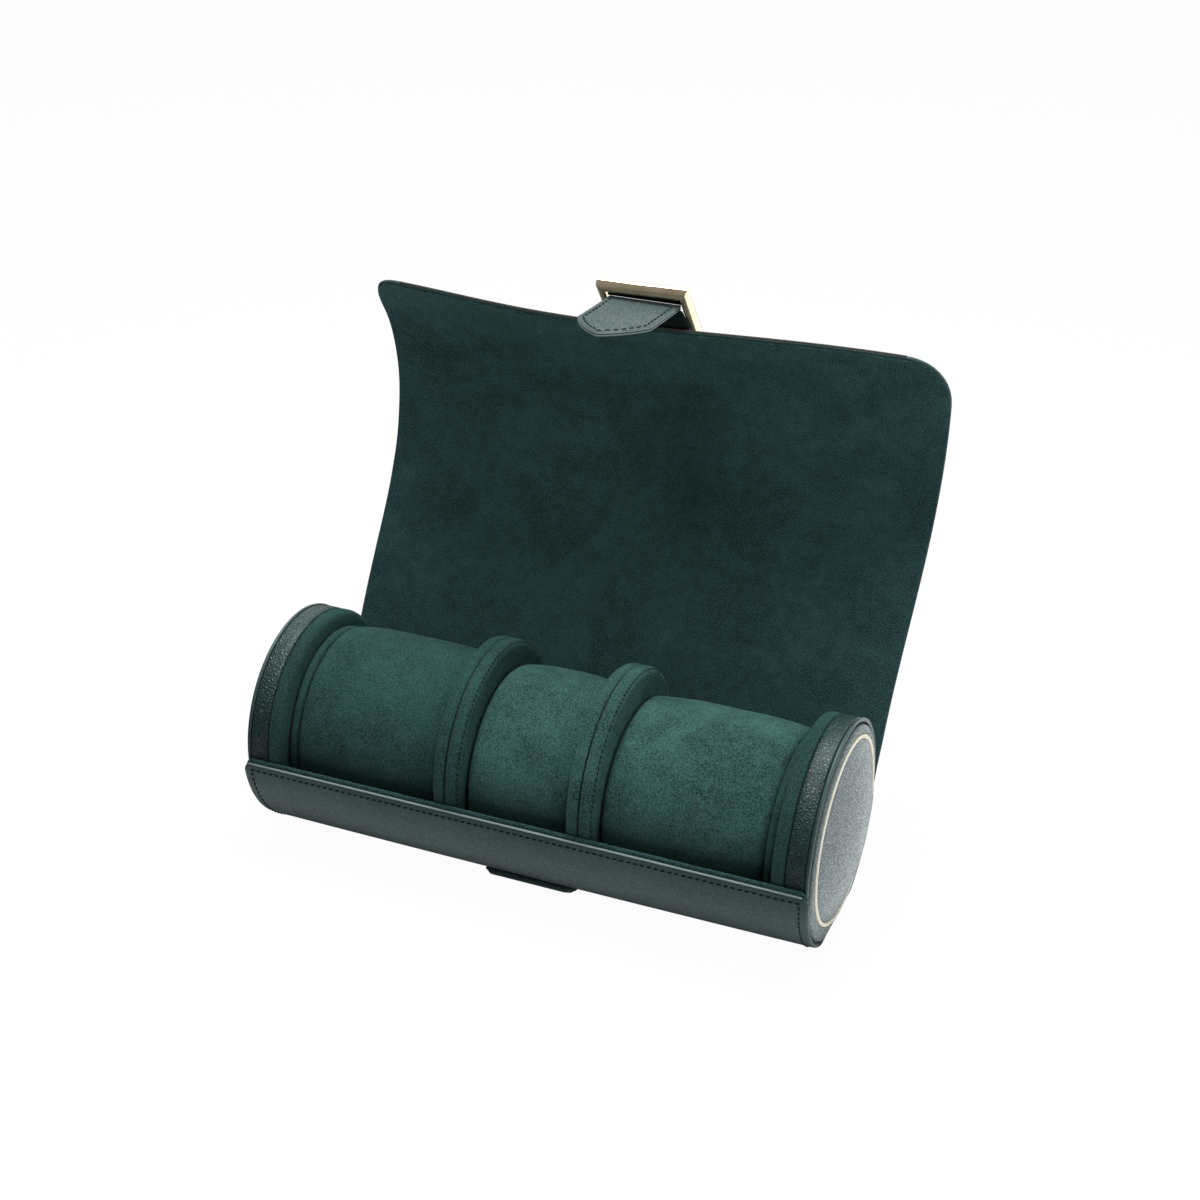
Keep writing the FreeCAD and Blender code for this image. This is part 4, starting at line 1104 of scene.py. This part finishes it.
bevel = metal.modifiers.new("soft_edges", "BEVEL")
bevel.width = FRAME_BEVEL * MM
bevel.segments = 4
bevel.limit_method = "ANGLE"
bevel.angle_limit = math.radians(BEVEL_ANGLE)
bevel.harden_normals = True
settle(metal, "frame", "gold", "clasp_frame")

# The tongue: two layers with painted edges, bent down from the strap's end to a shield-shaped point.
nose_end = Stretch(nose.place(1.0), nose.heading, 0, TONGUE_GAP).place(1.0)
blade = Stretch(nose_end, nose.heading + TONGUE_KINK, TONGUE_TURN, TONGUE_LENGTH)


def on_tongue(x, along, height):
    y, z = blade.place(along / TONGUE_LENGTH, height)
    return Vector((x + FLAP_LEAN, y, z))


def arc_through(first, middle, last, steps):
    """Points of the round arc through three points, without its last."""
    ax, ay, bx, by, cx, cy = *first, *middle, *last
    spread = 2 * (ax * (by - cy) + bx * (cy - ay) + cx * (ay - by))
    one, two, three = ax * ax + ay * ay, bx * bx + by * by, cx * cx + cy * cy
    middle_x = (one * (by - cy) + two * (cy - ay) + three * (ay - by)) / spread
    middle_y = (one * (cx - bx) + two * (ax - cx) + three * (bx - ax)) / spread
    radius = math.hypot(ax - middle_x, ay - middle_y)
    start = math.atan2(ay - middle_y, ax - middle_x)
    end = math.atan2(cy - middle_y, cx - middle_x)
    turns = [start + (end - start) * step / steps for step in range(steps)]
    return [(middle_x + radius * math.cos(angle), middle_y + radius * math.sin(angle)) for angle in turns]


SIDE_STEPS = 12
TIP_STEPS = 14
TIP_INSET_SHARE = 1.15
SHOULDER_INSET_SHARE = 0.2


def tongue_outline(inset):
    """The tongue's edge from its root round the point and back, drawn in by an inset."""
    half = STRAP_HALF - inset
    tip = TONGUE_LENGTH - inset * TIP_INSET_SHARE
    shoulder = TONGUE_SHOULDER - inset * SHOULDER_INSET_SHARE
    bulge = (half * TONGUE_BULGE_SHARES[0], shoulder + (tip - shoulder) * TONGUE_BULGE_SHARES[1])
    side = [(half, shoulder * step / SIDE_STEPS) for step in range(SIDE_STEPS)]
    side += arc_through((half, shoulder), bulge, (0.0, tip), TIP_STEPS)
    return side + [(0.0, tip)] + [(-x, along) for x, along in reversed(side)]


TONGUE_ROUND = 0.28
PAINT_INSET = 0.12
ROOT_STEPS = 12
tongue_edge = tongue_outline(0.0)
root_row = [(STRAP_HALF * (2 * step / ROOT_STEPS - 1), 0.0) for step in range(1, ROOT_STEPS)]
for layer, low in (("backing", 0.0), ("face", TONGUE_LAYER)):
    tongue = slab(tongue_edge + root_row, rounded(TONGUE_LAYER, TONGUE_ROUND),
                  lambda x, along, height: on_tongue(x, along, low + height), LEATHER["tongue"],
                  f"clasp_tongue_{layer}_skin")
    settle(tongue, "tongue", "tongue_leather", f"clasp_tongue_{layer}")
    rim = edging(tongue_edge + root_row, len(tongue_edge), low + PAINT_INSET,
                 low + TONGUE_LAYER - PAINT_INSET, on_tongue, LEATHER["edge"], f"clasp_tongue_{layer}_edge")
    settle(rim, "tongue", "tongue_leather")

# A dark matte bead across the tongue's root, below the frame's front bar: a rolled hem in shape, and a
# painted shadow under the bar.
SHADOW_HEM_RADIUS = 0.9
SHADOW_HEM_STANDS = 1.0
SHADOW_HEM_ALONG = 0.3
SHADOW_HEM_PAST = 0.3
SHADOW_HEM_STEPS = 24
shadow_hem_path = []
for step in range(SHADOW_HEM_STEPS + 1):
    x = (STRAP_HALF + SHADOW_HEM_PAST) * (2 * step / SHADOW_HEM_STEPS - 1)
    place = on_tongue(x, SHADOW_HEM_ALONG, 2 * TONGUE_LAYER + SHADOW_HEM_STANDS)
    shadow_hem_path.append((place, Vector((0.0, 1.0, 0.0)), Vector((0.0, 0.0, 1.0))))
settle(bead(shadow_hem_path, SHADOW_HEM_RADIUS, THREAD_DARK, "clasp_tongue_shadow_hem"), "tongue", "tongue_leather")

# The keeper: a low leather bridge sewn down at its two ends.
KEEPER_STEPS = 36
KEEPER_LIFT = 0.1
KEEPER_EDGE_BELOW = 0.2
KEEPER_EDGE_ABOVE = 0.3
keeper_run = [TRAY_RADIUS * math.radians(angle - LIP_ANGLE) for angle in (KEEPER_START, KEEPER_END)]
skin = Skin()
rings = []
for step in range(KEEPER_STEPS + 1):
    x = KEEPER_HALF * (2 * step / KEEPER_STEPS - 1)
    ramp = min(1.0, (KEEPER_HALF - abs(x)) / KEEPER_FOOT)
    low = WRAP_THICK + KEEPER_LIFT * ramp
    high = WRAP_THICK + KEEPER_GAP * ramp ** 2 * (3 - 2 * ramp) + KEEPER_THICK
    section = [(KEEPER_EDGE_BELOW, low), (0.0, low + KEEPER_EDGE_BELOW), (0.0, high - KEEPER_EDGE_ABOVE),
               (KEEPER_EDGE_ABOVE, high)]
    ring = [(keeper_run[0] + inset, out) for inset, out in section]
    ring += [(keeper_run[1] - inset, out) for inset, out in reversed(section)]
    rings.append(skin.ring([wrap_point(x, run, out) for run, out in ring]))
skin.loft(rings, closed=True)
skin.ends(rings)
settle(skin.piece("keeper_band", LEATHER["wrap"]), "body", "leather", "keeper_loop")

# Thin turned edges along the front lip and along the flap's free edge. The flap's catches the light; the
# lip's is light grey, a painted highlight.

BEAD_STEPS = {"lip": 60, "flap": 70}
LIP_BEAD = 0.34
LIP_BEAD_RUN = 0.25
LIP_BEAD_DEPTH = 0.2
LIP_BEAD_PAST = 1.5
FLAP_BEAD = 0.42
FLAP_BEAD_BACK = 0.15
FLAP_BEAD_DEPTH = 0.65


def edge_path(run, out, half, steps):
    """Path across the wrap, with the two ways across it at each point."""
    path = []
    for step in range(steps + 1):
        x = half * (2 * step / steps - 1)
        along = (wrap_point(x, run, out) - wrap_point(x, run - 1.0, out)).normalized()
        path.append((wrap_point(x, run, out), along, outward_at(x, run)))
    return path


# The lip's bead is light grey: a painted highlight along its top edge.
lip_highlight_path = edge_path(LIP_BEAD_RUN, WRAP_THICK - LIP_BEAD_DEPTH, HALF_WRAP - LIP_CORNER + LIP_BEAD_PAST,
                     BEAD_STEPS["lip"])
settle(bead(lip_highlight_path, LIP_BEAD, LEATHER["edge"], "lip_highlight_bead"), "body", "leather")
flap_path = edge_path(wrap_length - FLAP_BEAD_BACK, WRAP_THICK - FLAP_BEAD_DEPTH, HALF_WRAP - FLAP_CORNER,
                      BEAD_STEPS["flap"])
settle(bead(flap_path, FLAP_BEAD, LEATHER["raw"], "flap_edge_bead"), "flap_6", "leather")


# Stitches

def stitch_tree():
    """Nodes that lay stitches along a path whose points know their way out."""
    tree = bpy.data.node_groups.new("sewn_row", "GeometryNodeTree")
    kinds = {"Geometry": "Geometry", "Pitch": "Float", "Length": "Float", "Width": "Float", "Slant": "Float",
             "Thread": "Material"}
    for name, kind in kinds.items():
        tree.interface.new_socket(name, in_out="INPUT", socket_type=f"NodeSocket{kind}")
    tree.interface.new_socket("Geometry", in_out="OUTPUT", socket_type="NodeSocketGeometry")
    start = Wire(tree)
    given = start.node("NodeGroupInput")
    pitch, length, width, slant, material = (given.also(name) for name in list(kinds)[1:])
    curve = start.node("GeometryNodeMeshToCurve", Mesh=given)
    spots = start.node("GeometryNodeCurveToPoints", {"mode": "LENGTH"}, Curve=curve, Length=pitch)
    way_out = start.node("GeometryNodeInputNamedAttribute", {"data_type": "FLOAT_VECTOR"}, Name="way_out")
    along = start.node("FunctionNodeAlignRotationToVector", {"axis": "X"}, Vector=spots.also("Tangent"))
    upright = start.node("FunctionNodeAlignRotationToVector", {"axis": "Z", "pivot_axis": "X"},
                         Rotation=along, Vector=way_out)
    turn = start.node("FunctionNodeAxisAngleToRotation", Axis=(0.0, 0.0, 1.0), Angle=slant)
    slanted = start.node("FunctionNodeRotateRotation", {"rotation_space": "LOCAL"}, Rotation=upright,
                         Rotate__By=turn)
    stitch = start.node("GeometryNodeMeshUVSphere", Segments=8, Rings=5, Radius=0.5)
    size = start.node("ShaderNodeCombineXYZ", X=length, Y=width, Z=width)
    sewn = start.node("GeometryNodeInstanceOnPoints", Points=spots, Instance=stitch, Rotation=slanted,
                      Scale=size)
    real = start.node("GeometryNodeRealizeInstances", Geometry=sewn)
    painted = start.node("GeometryNodeSetMaterial", Geometry=real, Material=material)
    result = tree.nodes.new("NodeGroupOutput")
    start.feed(result, "Geometry", painted)
    return tree


SEWN_ROW = stitch_tree()

# Pitch, length and width of the stitches in each kind of row.
LIP_STITCH = (2.7, 2.1, 0.8)
FLAP_STITCH = (2.7, 2.0, 0.55)
TONGUE_STITCH = (3.2, 2.5, 0.95)
DIVIDER_STITCH = (2.1, 1.3, 0.6)
SEAM_STITCH = (1.6, 2.0, 0.6)
# How far stitches lie across their row, in radians.
EDGE_SLANT = 0.08
TONGUE_SLANT = 0.05
DIVIDER_SLANT = 0.35


def stitches(name, paths, stitch, material, slant=0.0):
    """Mesh of stitches along paths, each a list of points and their ways out."""
    pitch, length, width = (size * MM for size in stitch)
    mesh = bpy.data.meshes.new(f"{name}_path")
    points = [spot for path in paths for spot in path]
    edges = []
    first = 0
    for path in paths:
        edges += [(first + index, first + index + 1) for index in range(len(path) - 1)]
        first += len(path)
    mesh.from_pydata([point * MM for point, _ in points], edges, [])
    ways = mesh.attributes.new("way_out", "FLOAT_VECTOR", "POINT")
    ways.data.foreach_set("vector", [value for _, way in points for value in way])
    path_object = bpy.data.objects.new(f"{name}_path", mesh)
    scene.collection.objects.link(path_object)
    row = path_object.modifiers.new("sewn", "NODES")
    row.node_group = SEWN_ROW
    sizes = {"Pitch": pitch, "Length": length, "Width": width, "Slant": slant, "Thread": material}
    for item in SEWN_ROW.interface.items_tree:
        if item.in_out == "INPUT" and item.name in sizes:
            row[item.identifier] = sizes[item.name]
    evaluated = path_object.evaluated_get(bpy.context.evaluated_depsgraph_get())
    sewn = bpy.data.meshes.new_from_object(evaluated)
    sewn.name = name
    lay = sewn.attributes.new("lay", "FLOAT_VECTOR", "POINT")
    lay.data.foreach_set("vector", [value for vertex in sewn.vertices for value in vertex.co])
    made = bpy.data.objects.new(name, sewn)
    scene.collection.objects.link(made)
    bpy.data.objects.remove(path_object)
    bpy.data.meshes.remove(mesh)
    return made


def on_wrap(x, run):
    """Point on the wrap's leather, with its way out."""
    return wrap_point(x, run, WRAP_THICK), outward_at(x, run)


LIP_STITCH_RUN = 2.9
LIP_STITCH_HALF = 112
SIDE_STITCH_START = 5
EDGE_STITCH_INSET = 3.4
CLASP_CLEAR = 20
ROW_SPACING = 2
FLAP_ROW_SPACING = 1.5
CORNER_CLEAR = 16
stitch_side = HALF_WRAP - EDGE_STITCH_INSET
lip_row = [on_wrap(x, LIP_STITCH_RUN) for x in range(-LIP_STITCH_HALF, LIP_STITCH_HALF + 1, ROW_SPACING)]
side_runs = range(SIDE_STITCH_START, round(middles[0]), ROW_SPACING)
side_rows = [[on_wrap(side * stitch_side, run) for run in side_runs] for side in (-1, 1)]
piece = stitches("lip_stitches", [lip_row] + side_rows, LIP_STITCH, THREAD_DARK, EDGE_SLANT)
settle(piece, "body", "leather")

for index in range(PANELS):
    last = index == PANELS - 1
    start_run = middles[index]
    end_run = wrap_length - EDGE_STITCH_INSET if last else middles[index + 1]
    count = round((end_run - start_run) / FLAP_ROW_SPACING)
    runs = [start_run + (end_run - start_run) * step / count for step in range(count - CORNER_CLEAR * last)]
    paths = [[on_wrap(side * stitch_side, run) for run in runs] for side in (-1, 1)]
    if last:
        places = range(CLASP_CLEAR, round(HALF_WRAP - FLAP_CORNER), ROW_SPACING)
        paths += [[on_wrap(side * x, end_run) for x in places] for side in (-1, 1)]
    row = stitches(f"flap_stitches_{index + 1}", paths, FLAP_STITCH, THREAD_DARK, EDGE_SLANT)
    bodies[index]
    bodies[index + 1]
    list(hinge_ends(index))
    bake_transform(row)

TONGUE_STITCH_INSET = 2.2
tongue_path = []
for x, along in tongue_outline(TONGUE_STITCH_INSET)[2:-2]:
    way_out = on_tongue(x, along, 1.0) - on_tongue(x, along, 0.0)
    tongue_path.append((on_tongue(x, along, 2 * TONGUE_LAYER), way_out))
piece = stitches("tongue_stitches", [tongue_path], TONGUE_STITCH, THREAD_GREEN, TONGUE_SLANT)
settle(piece, "tongue", "tongue_leather")


def divider_rows(place, sunk, aside):
    """A row over the crown of each divider: its place across, its depth, and how far it faces aside."""
    up = math.sqrt(1 - aside ** 2)
    rows = []
    for centre in DIVIDER_CENTRES.values():
        rows.append([(Vector((centre + place, y - sunk * out_y, z - sunk * out_z)),
                      Vector((aside, up * out_y, up * out_z)))
                     for y, z, out_y, out_z in divider_outline[CROWN_START:CROWN_START + CROWN_POINTS + 2]])
    return rows


DIVIDER_ROW_PLACE = 4.9
DIVIDER_ROW_SUNK = 0.75
DIVIDER_ROW_ASIDE = 0.6
SEAM_ROW_SUNK = 0.95
edge_rows = divider_rows(DIVIDER_ROW_PLACE, DIVIDER_ROW_SUNK, DIVIDER_ROW_ASIDE)
settle(stitches("divider_stitches", edge_rows, DIVIDER_STITCH, THREAD_DARK, DIVIDER_SLANT), "body", "suede")
seam_rows = divider_rows(SEAM_PLACE, SEAM_ROW_SUNK, 0.0)
settle(stitches("divider_seams", seam_rows, SEAM_STITCH, THREAD_DARK), "body", "suede")


# Light, floor and camera

# Each light's name, place, target and size, in metres, and its power in watts.
LIGHTS = [
    ("top_softbox", (-0.04, 0.27, 1.15), (0.0, 0.02, 0.08), (0.9, 0.5), 16.0),
    ("front_softbox", (-0.16, -0.47, 1.15), (0.0, 0.0, 0.08), (0.34, 0.26), 4.2),
    ("right_softbox", (1.0, -0.25, 0.45), (0.05, 0.0, 0.06), (0.7, 0.7), 3.6),
    ("left_softbox", (-0.9, -0.5, 0.5), (0.0, 0.0, 0.08), (0.6, 0.8), 0.5),
]
for name, place, target, size, power in LIGHTS:
    lamp = bpy.data.lights.new(name, "AREA")
    lamp.shape = "RECTANGLE"
    lamp.size, lamp.size_y = size
    lamp.energy = power
    made = bpy.data.objects.new(name, lamp)
    made.location = place
    made.rotation_euler = (Vector(target) - Vector(place)).to_track_quat("-Z", "Y").to_euler()
    scene.collection.objects.link(made)


def ray_kinds(tree):
    """Which rays see a surface: from the camera, or in a reflection."""
    rays = tree.nodes.new("ShaderNodeLightPath")
    mirrored = Wire(tree, rays.outputs["Is Glossy Ray"]) + Wire(tree, rays.outputs["Is Transmission Ray"])
    return Wire(tree, rays.outputs["Is Camera Ray"]), mirrored.clamped()


def mix_shaders(start, share, one, two):
    return start.node("ShaderNodeMixShader", Fac=share, Shader=one, Shader_001=two)


def glows(start, kind, *strengths):
    """White light sources of some strengths, for a world or a surface."""
    return [start.node(kind, Color=colour(1.0, 1.0, 1.0), Strength=strength) for strength in strengths]


BEHIND = (-0.05, 0.5)
# The backdrop is white behind the roll and dark in front of it, and lends little light of its own.
world = bpy.data.worlds.new("studio")
scene.world = world
world.use_nodes = True
sky = Wire(world.node_tree)
white, dim, dark = glows(sky, "ShaderNodeBackground", 1.0, 0.1, 0.05)
heading = sky.node("ShaderNodeTexCoord", None, "Generated")
behind = sky.node("ShaderNodeSeparateXYZ", None, "Y", Vector=heading).between(*BEHIND)
from_camera, mirrored = ray_kinds(world.node_tree)
reflected = mix_shaders(sky, behind, dark, white)
seen = mix_shaders(sky, from_camera, mix_shaders(sky, mirrored, dim, reflected), white)
world.node_tree.links.new(seen.socket, world.node_tree.nodes["World Output"].inputs["Surface"])

# The floor. The camera sees it nearly white. For rays that mirror it, it glows as a painted reflection:
# a bright band along the roll's front, bright floor beside its right end, painted shade under the roll,
# and dark floor elsewhere.
FLOOR_REACH = 4.0
SEEN_WHITE = 0.965
BESIDE = (0.112, 0.13)
BEFORE = (-0.11, -0.05)
UNDER = (-0.05, -0.027)
FRONT_SHARE = 0.66
UNDER_SHADE = 0.95
floor_mesh = bpy.data.meshes.new("floor")
floor_corners = [(x * FLOOR_REACH, y * FLOOR_REACH, 0.0) for x, y in ((-1, -1), (1, -1), (1, 1), (-1, 1))]
floor_mesh.from_pydata(floor_corners, [], [(0, 1, 2, 3)])
floor = bpy.data.objects.new("floor", floor_mesh)
scene.collection.objects.link(floor)
paper = bpy.data.materials.new("white_paper")
paper.use_nodes = True
tree = paper.node_tree
matte = tree.nodes["Principled BSDF"]
matte.inputs["Base Color"].default_value = colour(0.85, 0.85, 0.85)
matte.inputs["Roughness"].default_value = 0.9
matte.inputs["Specular IOR Level"].default_value = 0.1
start = Wire(tree)
lit, unlit, bright = glows(start, "ShaderNodeEmission", 1.0, 0.06, 1.8)
place = start.node("ShaderNodeNewGeometry", None, "Position")
across = start.node("ShaderNodeSeparateXYZ", None, "X", Vector=place)
depth = start.node("ShaderNodeSeparateXYZ", None, "Y", Vector=place)
beside = across.between(*BESIDE)
under = depth.between(*UNDER) * (1 - beside)
near = depth.between(*BEFORE) * (beside * (1 - FRONT_SHARE) + FRONT_SHARE) * (1 - under * UNDER_SHADE)
from_camera, mirrored = ray_kinds(tree)
plain = Wire(tree, matte.outputs[0])
reflected = mix_shaders(start, mirrored, plain, mix_shaders(start, near, unlit, bright))
mixed = mix_shaders(start, from_camera * SEEN_WHITE, reflected, lit)
tree.links.new(mixed.socket, tree.nodes["Material Output"].inputs["Surface"])
floor_mesh.materials.append(paper)

# The camera stands where the photograph was taken from.
CAMERA_AZIMUTH = math.radians(23.72)
CAMERA_ELEVATION = math.radians(28.23)
CAMERA_PLACE = (0.279855, -0.642243, 0.431768 + AXIS_HEIGHT * MM)
camera_data = bpy.data.cameras.new("camera")
camera_data.lens = 62.67
camera_data.sensor_width = 36.0
camera_data.shift_x = 0.039
camera_data.shift_y = 0.033
camera_data.clip_start = 0.01
camera = bpy.data.objects.new("camera", camera_data)
forward = Vector((-math.sin(CAMERA_AZIMUTH) * math.cos(CAMERA_ELEVATION),
                  math.cos(CAMERA_AZIMUTH) * math.cos(CAMERA_ELEVATION), -math.sin(CAMERA_ELEVATION)))
rightward = Vector((math.cos(CAMERA_AZIMUTH), math.sin(CAMERA_AZIMUTH), 0.0))
upward = rightward.cross(forward)
turn = Matrix((rightward, upward, -forward)).transposed()
camera.matrix_world = Matrix.Translation(CAMERA_PLACE) @ turn.to_4x4()
scene.collection.objects.link(camera)
scene.camera = camera
scene.view_settings.view_transform = "Standard"
